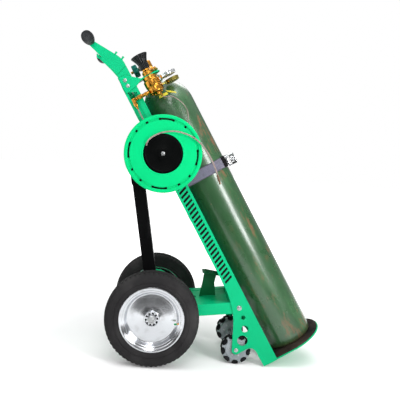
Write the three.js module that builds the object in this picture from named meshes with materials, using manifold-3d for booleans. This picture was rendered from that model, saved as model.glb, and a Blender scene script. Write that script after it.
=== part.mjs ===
// Leaning gas cylinder cart: a sheet-metal back frame with a round toe shelf carries one tall gas
// cylinder, two large wheels on a rear carriage, two omni wheels under the frame, a regulator on a
// bracket and a hose reel on the right side. Millimetres, +Z up, X forward, the right side is -Y.
//
// Two frames are used. "level" has X from the wheel axle and Z from the floor. "lean" is the back
// frame's own: U forward along the shelf, V up the cylinder's axis, Y across, from the cylinder's base.
import * as THREE from 'three';
import { mergeVertices } from 'three/addons/utils/BufferGeometryUtils.js';
import Module from 'manifold-3d';

const wasm = await Module();
wasm.setup();

// Driving dimensions
const LEAN = THREE.MathUtils.degToRad(31.45);
const CENTRE_X = 201.2;          // middle of the whole cart, ahead of the axle
const AXLE = { u: -499, v: 434 };
const GAP = 0.3;                 // between pieces that touch
const PLATE = 5;                 // sheet thickness
const FRAME_HALF = 160;          // inner half width between the side plates
const SHELF_BOTTOM = -PLATE - 6;   // under the plate, with the 6 mm mat on top of it
const SHELF_RADIUS = 165;
const SHELF_CENTRE = -10;
const WHEEL = { radius: 207, bead: 142.6, y: 225, bore: 13 };
const OMNI = { x: 387.3, radius: 68, y: 137, bore: 6.6 };
const CARRIAGE_BOLT = { x: 387.5, z: 260, radius: 8 };
const LUG_TOP = { u: -225, v: 1175 };
const TUBE = { side: 51, wall: 3 };
const POST = { side: 57, sleeve: 64, wall: 4, top: 790, sleeveBottom: 582, pin: 765 };
const CYLINDER = { radius: 117.5, wall: 6, shoulder: 1230, dome: 138, neck: 28, top: 1395 };
const REGULATOR = { u: -25, y: -150, radius: 37 };
const REEL = { u: -125.5, v: 1048, radius: 168.5, back: -165.3, split: -214, front: -260 };
const HANDLE_BAR = { u: -185, v: 1641, radius: 8, half: 252 };
const TIE_RODS = [{ u: -128, v: 1414 }, { u: -128, v: 1387 }];
const HOSE_RADIUS = 3.25;
const LINE_RADIUS = 2.2;
const STRAP = { v: 890, width: 51, thickness: 3 };

// Facets round a full turn
const LARGE = 24;
const MEDIUM = 14;
const SMALL = 8;

// Finishes
const finish = (color, roughness, metalness) => ({ color, roughness, metalness });
const GREEN_PAINT = finish(0x12b866, 0.35, 0.2);
const DARK_GREEN = finish(0x2c5a34, 0.45, 0.25);
const CASE_GREEN = finish(0x12e08a, 0.4, 0);
const BLACK_PAINT = finish(0x0c0c0d, 0.4, 0.2);
const RUBBER = finish(0x2a2a2c, 0.85, 0);
const BLACK_PLASTIC = finish(0x111113, 0.5, 0);
const ALUMINIUM = finish(0xd4d6d8, 0.2, 1);
const STEEL = finish(0xb4b6b8, 0.3, 1);
const BRASS = finish(0xc09040, 0.3, 1);
const GREY_FRAME = finish(0x9da0a2, 0.5, 0.1);
const TEAL = finish(0x0c5a50, 0.5, 0);
const HOSE_GREY = finish(0x9a8a86, 0.6, 0);
const WEBBING = finish(0x5a5468, 0.9, 0);

// ---- Geometry helpers -------------------------------------------------------------------------

function signedVolume(position, index) {
  const [a, b, c] = [new THREE.Vector3(), new THREE.Vector3(), new THREE.Vector3()];
  let sum = 0;
  for (let i = 0; i < index.length; i += 3) {
    a.fromBufferAttribute(position, index[i]);
    b.fromBufferAttribute(position, index[i + 1]);
    c.fromBufferAttribute(position, index[i + 2]);
    sum += a.dot(b.cross(c));
  }
  return sum / 6;
}

// One welded closed surface with its faces out, from any closed three.js geometry
function welded(geometry) {
  geometry.deleteAttribute('normal');
  geometry.deleteAttribute('uv');
  const merged = mergeVertices(geometry, 1e-3);
  const source = merged.index.array;
  const index = [];
  for (let i = 0; i < source.length; i += 3) {
    const [a, b, c] = [source[i], source[i + 1], source[i + 2]];
    if (a !== b && b !== c && c !== a) index.push(a, b, c);
  }
  if (signedVolume(merged.attributes.position, index) < 0) {
    for (let i = 0; i < index.length; i += 3) [index[i], index[i + 1]] = [index[i + 1], index[i]];
  }
  merged.setIndex(index);
  return merged;
}

function toManifold(geometry) {
  const clean = welded(geometry);
  return new wasm.Manifold(new wasm.Mesh({
    numProp: 3,
    vertProperties: new Float32Array(clean.attributes.position.array),
    triVerts: new Uint32Array(clean.index.array),
  }));
}

function toGeometry(manifold) {
  const { vertProperties, triVerts } = manifold.getMesh();
  const geometry = new THREE.BufferGeometry();
  geometry.setAttribute('position', new THREE.BufferAttribute(new Float32Array(vertProperties), 3));
  geometry.setIndex(new THREE.BufferAttribute(new Uint32Array(triVerts), 1));
  return geometry;
}

const join = (first, ...rest) => toGeometry(rest.reduce((sum, g) => sum.add(toManifold(g)), toManifold(first)));
const cut = (base, ...tools) => toGeometry(tools.reduce((sum, g) => sum.subtract(toManifold(g)), toManifold(base)));

const vectors = (points) => points.map(([a, b]) => new THREE.Vector2(a, b));

// A closed outline, always drawn anticlockwise, which its holes rely on
function outline(points) {
  const corners = vectors(points);
  return new THREE.Shape(THREE.ShapeUtils.isClockWise(corners) ? corners.reverse() : corners);
}

function withHoles(shape, circles) {
  for (const { a, b, radius } of circles) {
    shape.holes.push(new THREE.Path().absarc(a, b, radius, 0, 2 * Math.PI, true));
  }
  return shape;
}

function extruded(shape, depth, curveSegments = 8) {
  return new THREE.ExtrudeGeometry(shape, { depth, curveSegments, bevelEnabled: false });
}

// A plate drawn in a vertical plane, between two places across the cart
const uprightPlate = (shape, yLow, yHigh, curveSegments) =>
  extruded(shape, yHigh - yLow, curveSegments).rotateX(Math.PI / 2).translate(0, yHigh, 0);

// A plate drawn in plan (forward, across), between two heights
const flatPlate = (shape, low, high, curveSegments) =>
  extruded(shape, high - low, curveSegments).translate(0, 0, low);

// Profiles are (radius, place along the axis)
const latheY = (profile, facets) =>
  new THREE.LatheGeometry(vectors(profile), facets, Math.PI / facets, 2 * Math.PI);
const latheUp = (profile, facets) => latheY(profile, facets).rotateX(Math.PI / 2);
const latheForward = (profile, facets) => latheY(profile, facets).rotateZ(-Math.PI / 2);
const closedLatheY = (profile, facets) => latheY([...profile, profile[0]], facets);

const rodProfile = (radius, low, high) => [[0, low], [radius, low], [radius, high], [0, high]];
const rodY = (radius, low, high, facets = SMALL) => latheY(rodProfile(radius, low, high), facets);
const rodUp = (radius, low, high, facets = SMALL) => latheUp(rodProfile(radius, low, high), facets);
const rodForward = (radius, low, high, facets = SMALL) => latheForward(rodProfile(radius, low, high), facets);

function box(low, high) {
  const size = high.map((h, i) => h - low[i]);
  return new THREE.BoxGeometry(...size).translate(...low.map((l, i) => l + size[i] / 2));
}

// A round tube through points, with flat ends square to its path
function tubeAlong(points, radius, steps, facets = 8) {
  const section = new THREE.Shape();
  for (let i = 0; i < facets; i++) {
    const angle = (2 * Math.PI * i) / facets;
    const [x, y] = [radius * Math.cos(angle), radius * Math.sin(angle)];
    if (i === 0) section.moveTo(x, y);
    else section.lineTo(x, y);
  }
  const path = new THREE.CatmullRomCurve3(points.map((p) => new THREE.Vector3(...p)), false, 'centripetal');
  return new THREE.ExtrudeGeometry(section, { steps, extrudePath: path, bevelEnabled: false });
}

// A bolt or pin along Y: a shank with a head at each end
function throughBolt(shank, head, headLength, low, high) {
  return latheY([
    [0, low - headLength], [head, low - headLength], [head, low], [shank, low],
    [shank, high], [head, high], [head, high + headLength], [0, high + headLength],
  ], SMALL);
}

// ---- Frames and nodes -------------------------------------------------------------------------

const cart = new THREE.Group();
cart.position.x = -CENTRE_X;

const lean = new THREE.Group();
lean.rotation.y = -LEAN;
lean.position.set(0, 0, WHEEL.radius);
lean.position.sub(new THREE.Vector3(AXLE.u, 0, AXLE.v).applyEuler(lean.rotation));
cart.add(lean);

const level = new THREE.Group();
cart.add(level);

function add(group, name, geometry, { color, roughness, metalness }) {
  const material = new THREE.MeshStandardMaterial({ color, roughness, metalness });
  const mesh = new THREE.Mesh(welded(geometry), material);
  mesh.name = name;
  group.add(mesh);
  return mesh;
}

// The same piece on both sides of the cart: the right side is at -Y
function addPair(group, name, makeRight, look) {
  add(group, `${name}_right`, makeRight(), look);
  add(group, `${name}_left`, makeRight().scale(1, -1, 1), look);
}

// A level place, in the lean frame
function toLean(x, z) {
  const place = new THREE.Vector3(x, 0, z).sub(lean.position).applyAxisAngle(new THREE.Vector3(0, 1, 0), LEAN);
  return { a: place.x, b: place.z };
}

// ---- Back frame -------------------------------------------------------------------------------

function sidePlate() {
  const omni = toLean(OMNI.x, OMNI.radius);
  const pivot = toLean(CARRIAGE_BOLT.x, CARRIAGE_BOLT.z);
  const lobe = 20;
  const [lobeStart, lobeEnd] = [138, 290].map(THREE.MathUtils.degToRad);
  const shape = new THREE.Shape();
  shape.moveTo(-94, SHELF_BOTTOM);
  shape.lineTo(-94, 1470);
  shape.lineTo(-148, 1450);
  shape.lineTo(-155, 1390);
  shape.lineTo(-155, 400);
  shape.quadraticCurveTo(-158, 290, -203, 215);
  shape.lineTo(omni.a + lobe * Math.cos(lobeStart), omni.b + lobe * Math.sin(lobeStart));
  shape.absarc(omni.a, omni.b, lobe, lobeStart, lobeEnd, false);
  shape.lineTo(-195, 95);
  shape.quadraticCurveTo(-165, 92, -164, 60);
  shape.lineTo(-163, SHELF_BOTTOM);
  withHoles(shape, [
    { ...omni, radius: 7 },
    { ...pivot, radius: CARRIAGE_BOLT.radius + 0.5 },
    { a: -144.6, b: 229.5, radius: 10 },
    { a: -162, b: 180, radius: 16 },
    { a: -196, b: 138, radius: 24 },
    { a: REEL.u, b: REEL.v, radius: 8.5 },
    ...TIE_RODS.map(({ u, v }) => ({ a: u, b: v, radius: 5.6 })),
  ]);
  shape.holes.push(new THREE.Path(vectors([[-144, 1325], [-144, 1362], [-106, 1348], [-106, 1330]])));
  return uprightPlate(shape, -FRAME_HALF - PLATE, -FRAME_HALF, 6);
}

// Outline of the round-nosed shelf, narrowed between the side plates
function shelfShape(radius, backHalf, back) {
  const shape = new THREE.Shape();
  shape.moveTo(back, -backHalf);
  shape.lineTo(-94 + GAP, -backHalf);
  shape.lineTo(-94 + GAP, -radius);
  shape.lineTo(SHELF_CENTRE, -radius);
  shape.absarc(SHELF_CENTRE, 0, radius, -Math.PI / 2, Math.PI / 2, false);
  shape.lineTo(-94 + GAP, radius);
  shape.lineTo(-94 + GAP, backHalf);
  shape.lineTo(back, backHalf);
  return shape;
}

// A welded rib between the side plates, hollowed at the front for the cylinder to lie in
function saddle(low) {
  const [back, front, side] = [-147.5, -98, FRAME_HALF - GAP];
  const seat = CYLINDER.radius + 1;
  const reach = Math.acos(front / -seat);
  const shape = new THREE.Shape();
  shape.moveTo(back, -side);
  shape.lineTo(front, -side);
  shape.absarc(0, 0, seat, Math.PI + reach, Math.PI - reach, true);
  shape.lineTo(front, side);
  shape.lineTo(back, side);
  return flatPlate(shape, low, low + 6, 8);
}

function buildFrame() {
  addPair(lean, 'side_plate', sidePlate, GREEN_PAINT);
  const half = FRAME_HALF - GAP;
  add(lean, 'back_panel', box([-153, -half, 340], [-148, half, 1440]), GREEN_PAINT);
  add(lean, 'saddle_lower', saddle(150), GREEN_PAINT);
  add(lean, 'saddle_upper', saddle(1090), GREEN_PAINT);
  add(lean, 'shelf_plate', flatPlate(shelfShape(SHELF_RADIUS, half, -147), SHELF_BOTTOM, SHELF_BOTTOM + PLATE, 16),
    GREEN_PAINT);
  add(lean, 'shelf_mat', flatPlate(shelfShape(SHELF_RADIUS - 4, half - 2, -145), SHELF_BOTTOM + PLATE + GAP, 0, 16),
    RUBBER);
}

function handleArm() {
  const { u, v, radius } = HANDLE_BAR;
  const boss = 20;
  const shape = new THREE.Shape();
  shape.moveTo(-97, 1370);
  shape.lineTo(-95, 1470);
  shape.quadraticCurveTo(-91, 1500, -108, 1530);
  shape.absarc(u, v, boss, THREE.MathUtils.degToRad(-37), THREE.MathUtils.degToRad(235), false);
  shape.lineTo(-171, 1550);
  shape.lineTo(-148, 1461);
  shape.lineTo(-146, 1370);
  withHoles(shape, [
    { a: u, b: v, radius: radius + 0.6 },
    ...TIE_RODS.map((rod) => ({ a: rod.u, b: rod.v, radius: 5.6 })),
  ]);
  const outer = -FRAME_HALF + GAP;
  return uprightPlate(shape, outer, outer + PLATE, 6);
}

function grip() {
  const root = -FRAME_HALF;
  const end = root - 102;
  return latheY([
    [0, end], [14, end + 2], [23, end + 13], [26.5, end + 42], [25.5, end + 70], [20, root - 4], [8.5, root - 1],
    [8.5, end + 9], [0, end + 9],
  ], MEDIUM).translate(HANDLE_BAR.u, 0, HANDLE_BAR.v);
}

function regulatorBracket() {
  const outer = -FRAME_HALF - PLATE - GAP;
  const gusset = outline([[-150, 1360], [-150, 1436], [-118, 1436], [-62, 1390.3], [-62, 1385.3], [-92, 1370]]);
  withHoles(gusset, TIE_RODS.map(({ u, v }) => ({ a: u, b: v, radius: 5.6 })));
  const shelf = new THREE.Shape();
  shelf.moveTo(-90, outer - 4.8);
  shelf.lineTo(-15, outer - 4.8);
  shelf.absarc(-4, -143, 33, -Math.PI / 2, Math.PI / 2, false);
  shelf.lineTo(-90, -110);
  withHoles(shelf, [{ a: REGULATOR.u, b: REGULATOR.y, radius: 18.8 }]);
  return join(uprightPlate(gusset, outer - PLATE, outer), flatPlate(shelf, 1385.3, 1390.3));
}

function buildHandleAndBracket() {
  addPair(lean, 'handle_arm', handleArm, GREEN_PAINT);
  const { u, v, radius, half } = HANDLE_BAR;
  add(lean, 'handle_bar', rodY(radius, -half, half).translate(u, 0, v), STEEL);
  addPair(lean, 'grip', grip, RUBBER);
  add(lean, 'regulator_bracket', regulatorBracket(), GREEN_PAINT);
  const outside = FRAME_HALF + PLATE + GAP;
  const names = ['tie_rod_upper', 'tie_rod_lower'];
  TIE_RODS.forEach((rod, i) => {
    const bolt = throughBolt(5, 8.5, 4, -outside - PLATE - GAP, outside).translate(rod.u, 0, rod.v);
    add(lean, names[i], bolt, STEEL);
  });
}

// ---- Rear post --------------------------------------------------------------------------------

function squareTube(side, wall, low, high) {
  const [outer, inner] = [side / 2, side / 2 - wall];
  const shape = outline([[-outer, -outer], [outer, -outer], [outer, outer], [-outer, outer]]);
  shape.holes.push(new THREE.Path(vectors([[-inner, -inner], [-inner, inner], [inner, inner], [inner, -inner]])));
  return flatPlate(shape, low, high);
}

// The post stands on the axle yoke and its sleeve is pinned to a lug on the back panel
function buildPost() {
  const post = new THREE.Group();
  post.position.set(AXLE.u, 0, AXLE.v);
  post.rotation.y = Math.atan2(LUG_TOP.u - AXLE.u, LUG_TOP.v - AXLE.v);
  lean.add(post);
  const pinHole = (height) => rodY(6.6, -60, 60).translate(0, 0, height);
  add(post, 'post_tube', cut(squareTube(POST.side, POST.wall, 26, POST.pin + 20), pinHole(POST.pin)),
    BLACK_PAINT);
  add(post, 'post_sleeve', cut(squareTube(POST.sleeve, (POST.sleeve - POST.side) / 2 - GAP, POST.sleeveBottom,
    POST.top), pinHole(POST.pin)), BLACK_PAINT);
  const sleeveHalf = POST.sleeve / 2;
  const cheek = 5;
  const pinTop = throughBolt(6, 10, 5, -sleeveHalf - cheek - 1, sleeveHalf + cheek + 1);
  add(post, 'post_pin_top', pinTop.translate(0, 0, POST.pin), STEEL);

  const pin = new THREE.Vector3(0, 0, POST.pin).applyEuler(post.rotation).add(post.position);
  const cheekShape = () => withHoles(
    outline([[-154, 1222], [-154, 1115], [-205, 1100], [-258, 1120], [-260, 1165], [-236, 1193], [-190, 1214]]),
    [{ a: pin.x, b: pin.z, radius: 6.6 }],
  );
  const inner = sleeveHalf + GAP;
  add(lean, 'post_lug', join(
    uprightPlate(cheekShape(), inner, inner + cheek),
    uprightPlate(cheekShape(), -inner - cheek, -inner),
    box([-158.3, -60, 1110], [-153.3, 60, 1226]),
  ), BLACK_PAINT);
}

// ---- Rear carriage ----------------------------------------------------------------------------

const ARM_SLOPE = Math.atan2(CARRIAGE_BOLT.z - WHEEL.radius, CARRIAGE_BOLT.x);
const ARM_LENGTH = Math.hypot(CARRIAGE_BOLT.z - WHEEL.radius, CARRIAGE_BOLT.x);
const ARM_INNER = FRAME_HALF - 0.5 - TUBE.side;

function carriageArm() {
  const middle = -FRAME_HALF + 0.5 + TUBE.side / 2;
  const tube = squareTube(TUBE.side, TUBE.wall, -34, ARM_LENGTH + 28).rotateY(Math.PI / 2).translate(0, middle, 0);
  const bore = (radius, along) => rodY(radius, -200, -80, MEDIUM).translate(along, 0, 0);
  return cut(tube, bore(WHEEL.bore + 0.4, 0), bore(CARRIAGE_BOLT.radius + 0.5, ARM_LENGTH));
}

function axleYoke() {
  const disc = () => new THREE.Shape().absarc(0, 285, 85, 0, 2 * Math.PI, false);
  const inner = POST.side / 2 + 0.5;
  const half = ARM_INNER - GAP;
  const solid = join(
    uprightPlate(disc(), inner, inner + PLATE, 12),
    uprightPlate(disc(), -inner - PLATE, -inner, 12),
    rodY(22, -half, half, MEDIUM).translate(0, 0, WHEEL.radius),
  );
  return cut(solid, rodY(WHEEL.bore + 0.4, -half - 1, half + 1, MEDIUM).translate(0, 0, WHEEL.radius));
}

function stepPlate(surface) {
  const clear = 0.4;
  const upright = outline([
    [212, surface(212) + clear], [290, surface(290) + clear], [281, 330], [289, 373], [229, 381], [224, 330],
  ]);
  const tread = outline([[220, 384], [219, 380], [228, 381], [296, 372], [298, 376], [228, 385]]);
  return join(uprightPlate(upright, -2.5, 2.5), uprightPlate(tread, -40, 40));
}

function buildCarriage() {
  const slope = new THREE.Group();
  slope.position.z = WHEEL.radius;
  slope.rotation.y = -ARM_SLOPE;
  level.add(slope);
  addPair(slope, 'carriage_arm', carriageArm, GREEN_PAINT);
  const plateTop = TUBE.side / 2 - 2;
  const half = ARM_INNER - GAP;
  const plan = withHoles(outline([[95, -half], [345, -half], [345, half], [95, half]]), [{ a: 165, b: 0, radius: 38 }]);
  add(slope, 'carriage_cross_plate', flatPlate(plan, plateTop - PLATE, plateTop, 10), GREEN_PAINT);

  const surface = (x) => WHEEL.radius + x * Math.tan(ARM_SLOPE) + plateTop / Math.cos(ARM_SLOPE);
  add(level, 'step_plate', stepPlate(surface), DARK_GREEN);
  add(level, 'axle_yoke', axleYoke(), GREEN_PAINT);
  const wheelFace = WHEEL.y + 22 + GAP;
  const axle = throughBolt(12.5, 19, 12, -wheelFace, wheelFace);
  add(level, 'axle', axle.translate(0, 0, WHEEL.radius), STEEL);
  const outside = FRAME_HALF + PLATE + GAP;
  const bolt = throughBolt(CARRIAGE_BOLT.radius - 0.3, 11, 4, -outside, outside);
  add(level, 'carriage_bolt', bolt.translate(CARRIAGE_BOLT.x, 0, CARRIAGE_BOLT.z), STEEL);
}

// ---- Wheels -----------------------------------------------------------------------------------

// Facet corners for a wheel whose flats stand at the given radius
const corner = (radius) => radius / Math.cos(Math.PI / LARGE);
const wheelProfile = (points) => points.map(([radius, along]) => [corner(radius), -along - WHEEL.y]);

function rim() {
  const bead = WHEEL.bead - GAP;
  return closedLatheY(wheelProfile([
    [WHEEL.bore, 22], [34, 22], [34, 10], [108, 2], [118, 26], [137, 35], [bead, 35], [bead, -35], [136, -31],
    [113, -4], [34, 3], [26, -44], [WHEEL.bore, -44],
  ]), LARGE).translate(0, 0, WHEEL.radius);
}

function tyre() {
  return closedLatheY(wheelProfile([
    [WHEEL.bead, 36], [162, 48], [184, 50], [201, 40], [WHEEL.radius, 22], [WHEEL.radius, -22], [201, -40],
    [184, -50], [162, -48], [WHEEL.bead, -36],
  ]), LARGE).translate(0, 0, WHEEL.radius);
}

const OMNI_CORE = 50;
const ROLLERS_PER_ROW = 9;

// One row of barrel rollers, drawn as lobes with a flat outside
function rollerRow(turn) {
  const points = [];
  for (let i = 0; i < ROLLERS_PER_ROW; i++) {
    const angle = turn + (2 * Math.PI * i) / ROLLERS_PER_ROW;
    for (const [along, out] of [[-15, 57], [-10, OMNI.radius], [10, OMNI.radius], [15, 57]]) {
      points.push([
        out * Math.cos(angle) - along * Math.sin(angle),
        out * Math.sin(angle) + along * Math.cos(angle),
      ]);
    }
  }
  return withHoles(outline(points), [{ a: 0, b: 0, radius: OMNI_CORE + 1.5 }]);
}

function omniRollers() {
  const down = -Math.PI / 2;
  const overlap = 0.5;
  return join(
    uprightPlate(rollerRow(down), -20, overlap, 7),
    uprightPlate(rollerRow(down + Math.PI / ROLLERS_PER_ROW), -overlap, 20, 7),
  ).translate(OMNI.x, -OMNI.y, OMNI.radius);
}

function omniHub() {
  const half = 20.5;
  return closedLatheY([[OMNI.bore, -half], [OMNI_CORE - 1, -half], [OMNI_CORE - 1, half], [OMNI.bore, half]], MEDIUM)
    .translate(OMNI.x, -OMNI.y, OMNI.radius);
}

function buildWheels() {
  addPair(level, 'wheel_rim', rim, ALUMINIUM);
  addPair(level, 'tyre', tyre, RUBBER);
  addPair(level, 'omni_hub', omniHub, GREY_FRAME);
  addPair(level, 'omni_rollers', omniRollers, BLACK_PLASTIC);
  const outside = FRAME_HALF + PLATE + GAP;
  const rod = throughBolt(6, 9, 4, -outside, outside);
  add(level, 'omni_axle', rod.translate(OMNI.x, 0, OMNI.radius), STEEL);
}

// ---- Gas cylinder and its valve ---------------------------------------------------------------

function gasCylinder() {
  const { radius, wall, shoulder, dome, neck, top } = CYLINDER;
  const arc = (r, height, from, steps) => {
    const points = [];
    for (let i = 0; i <= steps; i++) {
      const angle = from * (i / steps);
      points.push([r * Math.cos(angle), shoulder + height * Math.sin(angle)]);
    }
    return points;
  };
  const outside = arc(radius, dome, 1.32, 5);
  const inside = arc(radius - wall, dome - wall, 1.42, 4).reverse();
  const bore = 13;
  return latheUp([
    [0, 8], [88, GAP], [radius - 6, GAP], [radius, 12], ...outside, [neck, top], [bore, top],
    ...inside.map(([r, v], i) => (i === 0 ? [bore, v] : [r, v])), [radius - wall, 22], [0, 18],
  ], LARGE);
}

const VALVE = { outlet: 1432, wheel: 1460, facing: -47 };

function cylinderValve() {
  const body = latheUp([
    [0, 1375], [11, 1375], [11, CYLINDER.top + GAP], [20, CYLINDER.top + GAP], [20, 1408], [17, 1410],
    [17, 1476], [12, 1480], [0, 1480],
  ], MEDIUM);
  return join(
    body,
    rodY(13, -48, -5, MEDIUM).translate(0, 0, VALVE.outlet),
    rodForward(8, 5, 27).translate(0, 0, VALVE.outlet),
    rodForward(12, VALVE.facing, -5, MEDIUM).translate(0, 0, VALVE.wheel),
  );
}

function valveHandwheel() {
  const lobes = 9;
  const points = [];
  for (let i = 0; i < lobes * 4; i++) {
    const angle = (2 * Math.PI * i) / (lobes * 4);
    const radius = i % 4 < 2 ? 31 : 27;
    points.push([radius * Math.cos(angle), radius * Math.sin(angle)]);
  }
  const wheel = extruded(outline(points), 26).rotateY(-Math.PI / 2).translate(-52, 0, 0);
  return join(
    wheel,
    rodForward(9, -60, VALVE.facing - GAP),
    rodForward(7, -90, -60, 6),
  ).translate(0, 0, VALVE.wheel);
}

function inletPipe() {
  return tubeAlong([
    [0, -48.4, VALVE.outlet], [0, -62, VALVE.outlet], [-4, -78, 1424], [-12, -86, 1402], [-20, -88, 1376],
    [-25, -94, 1354], [-25, -103, 1346.5], [-25, REGULATOR.y + REGULATOR.radius + 1, 1346],
  ], 5, 14);
}

function buildCylinder() {
  add(lean, 'gas_cylinder', gasCylinder(), DARK_GREEN);
  add(lean, 'cylinder_valve', cylinderValve(), BRASS);
  add(lean, 'valve_handwheel', valveHandwheel(), TEAL);
  add(lean, 'inlet_pipe', inletPipe(), BRASS);
}

// ---- Regulator --------------------------------------------------------------------------------

const GAUGES = [
  { name: 'high', u: 52, y: -172, bottom: 1346, radius: 37, height: 16, look: STEEL },
  { name: 'low', u: 62, y: -110, bottom: 1322, radius: 33.5, height: 18, look: BRASS },
];

// A cup for the dial with a centre pin, and the stem that screws into the regulator's body
function gaugeCase({ u, y, bottom, radius, height }) {
  const floor = 4;
  const cup = latheUp([
    [0, 0], [radius, 0], [radius, height], [radius - 3.5, height], [radius - 3.5, floor], [3, floor],
    [3, floor + 3.6], [0, floor + 3.6],
  ], 20);
  const [across, ahead] = [REGULATOR.y - y, REGULATOR.u - u];
  const reach = Math.hypot(across, ahead) - REGULATOR.radius - 0.6;
  const stem = rodForward(5, radius - 2, reach).rotateZ(Math.atan2(across, ahead)).translate(0, 0, height / 2);
  return join(cup, stem).translate(u, y, bottom);
}

function gaugeNeedle({ u, y, bottom, radius }) {
  const base = bottom + 8;
  const tip = radius - 9;
  const shape = outline([[-3, -4], [3, -4], [3, 4], [0.8, tip], [-0.8, tip], [-3, 4]]);
  return flatPlate(shape, base, base + 1.5).translate(u, y, 0);
}

function buildRegulator() {
  const place = (geometry) => geometry.translate(REGULATOR.u, REGULATOR.y, 0);
  const { radius } = REGULATOR;
  add(lean, 'regulator_body', place(latheUp([
    [0, 1292], [18, 1292], [18, 1302], [radius, 1308], [radius, 1366], [32, 1371], [32, 1385], [0, 1385],
  ], 20)), BRASS);
  add(lean, 'regulator_bonnet', place(latheUp([
    [0, 1385.3], [17.8, 1385.3], [17.8, 1390.6], [24, 1390.6], [24, 1408], [17, 1414], [17, 1419.5], [0, 1419.5],
  ], 20)), BRASS);
  add(lean, 'regulator_knob', place(latheUp([
    [0, 1420], [21, 1420], [23, 1426], [23, 1446], [29, 1464], [39, 1483], [39, 1487], [31, 1487], [24, 1472], [0, 1468],
  ], 20)), BLACK_PLASTIC);
  add(lean, 'relief_valve', place(latheForward([
    [0, 24.4], [6, 24.4], [6, 36], [8.5, 37], [8.5, 46], [5, 50], [0, 50],
  ], SMALL).translate(0, 0, 1400)), BRASS);
  for (const gauge of GAUGES) {
    add(lean, `gauge_case_${gauge.name}`, gaugeCase(gauge), gauge.look);
    add(lean, `gauge_needle_${gauge.name}`, gaugeNeedle(gauge), BLACK_PLASTIC);
  }
  const [fittingY, fittingV, elbow] = [-177, 1318, -134];
  add(lean, 'outlet_fitting', join(
    rodForward(8, elbow, -58, MEDIUM).translate(0, fittingY, fittingV),
    rodForward(10.5, -112, -92, 6).translate(0, fittingY, fittingV),
    rodUp(8, 1288, 1326, MEDIUM).translate(elbow, fittingY, 0),
  ), BRASS);
}

// ---- Hose reel and hoses ----------------------------------------------------------------------

function buildReel() {
  const { u, v, radius, back, split, front } = REEL;
  const wall = 5;
  const place = (geometry) => geometry.translate(u, 0, v);
  add(lean, 'reel_back_shell', place(closedLatheY([
    [8.5, back], [radius, back], [radius, split + 0.2], [radius - wall, split + 0.2], [radius - wall, back - 4],
    [8.5, back - 4],
  ], LARGE)), CASE_GREEN);
  add(lean, 'reel_front_shell', place(closedLatheY([
    [86, front], [radius - 4, front], [radius, front + 4], [radius, split - 0.2], [radius - wall, split - 0.2],
    [radius - wall, front + 5], [86, front + 5],
  ], LARGE)), CASE_GREEN);
  const [drum, flange, hub] = [66, 150, 83];
  const inner = back - 10;
  add(lean, 'reel_spool', place(closedLatheY([
    [8.5, inner], [flange, inner], [flange, inner - 4], [drum, inner - 4], [drum, front + 13], [flange, front + 13],
    [flange, front + 9], [hub, front + 9], [hub, front + 2], [8.5, front + 2],
  ], LARGE)), BLACK_PLASTIC);
  add(lean, 'wound_hose', place(closedLatheY([
    [drum + 1, inner - 4.5], [84, inner - 4.5], [84, front + 13.5], [drum + 1, front + 13.5],
  ], LARGE)), HOSE_GREY);
  add(lean, 'reel_bolt', place(latheY([
    [0, front - 3], [9, front - 3], [9, front + 1.7], [7.4, front + 1.7], [7.4, -159.6], [12, -159.6],
    [12, -153], [0, -153],
  ], SMALL)), STEEL);
}

// The loose end of the wound hose: out of the reel's face, over its edge and down beside the cylinder
const FREE_HOSE = [
  [-172, -260.8, 1112], [-170, -264, 1114.6], [-163.5, -270.2, 1121], [-152, -273.8, 1127.4], [-126, -275, 1132],
  [-98, -275, 1130.6], [-66, -275, 1122], [-36, -275, 1108], [-9, -274, 1086], [13, -272, 1061], [30, -270, 1031],
  [41, -268, 995], [46, -266, 955], [46, -264, 915], [42.5, -262, 880], [39.4, -261, 862],
];

function hoseEndFitting() {
  const [end, before] = [FREE_HOSE.at(-1), FREE_HOSE.at(-2)].map((p) => new THREE.Vector3(...p));
  const along = end.clone().sub(before).normalize();
  const fitting = latheY([[0, 0.4], [5, 0.4], [5, 12], [6, 13], [6, 30], [4, 32], [4, 44], [0, 44]], SMALL);
  fitting.applyQuaternion(new THREE.Quaternion().setFromUnitVectors(new THREE.Vector3(0, 1, 0), along));
  return fitting.translate(...end);
}

function buildHoses() {
  add(lean, 'supply_hose', tubeAlong([
    [-134, -177, 1287.6], [-135, -177.5, 1262], [-136, -177.5, 1240], [-135, -177, 1216.9],
  ], HOSE_RADIUS, 6), HOSE_GREY);
  add(lean, 'sensing_line', tubeAlong([
    [-12, -150, 1291.2], [-12, -150, 1283], [-2, -150, 1272], [22, -151, 1262], [45, -152, 1230], [57, -151, 1193],
    [54, -150, 1159], [38, -150, 1131], [14, -149, 1108], [-12, -149, 1094], [-34, -151, 1087], [-42, -158, 1085],
    [-42, -164.6, 1085],
  ], LINE_RADIUS, 30), HOSE_GREY);
  add(lean, 'free_hose', tubeAlong(FREE_HOSE, HOSE_RADIUS, 40), HOSE_GREY);
  add(lean, 'hose_end_fitting', hoseEndFitting(), BRASS);
}

// ---- Strap and its buckle ---------------------------------------------------------------------

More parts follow.
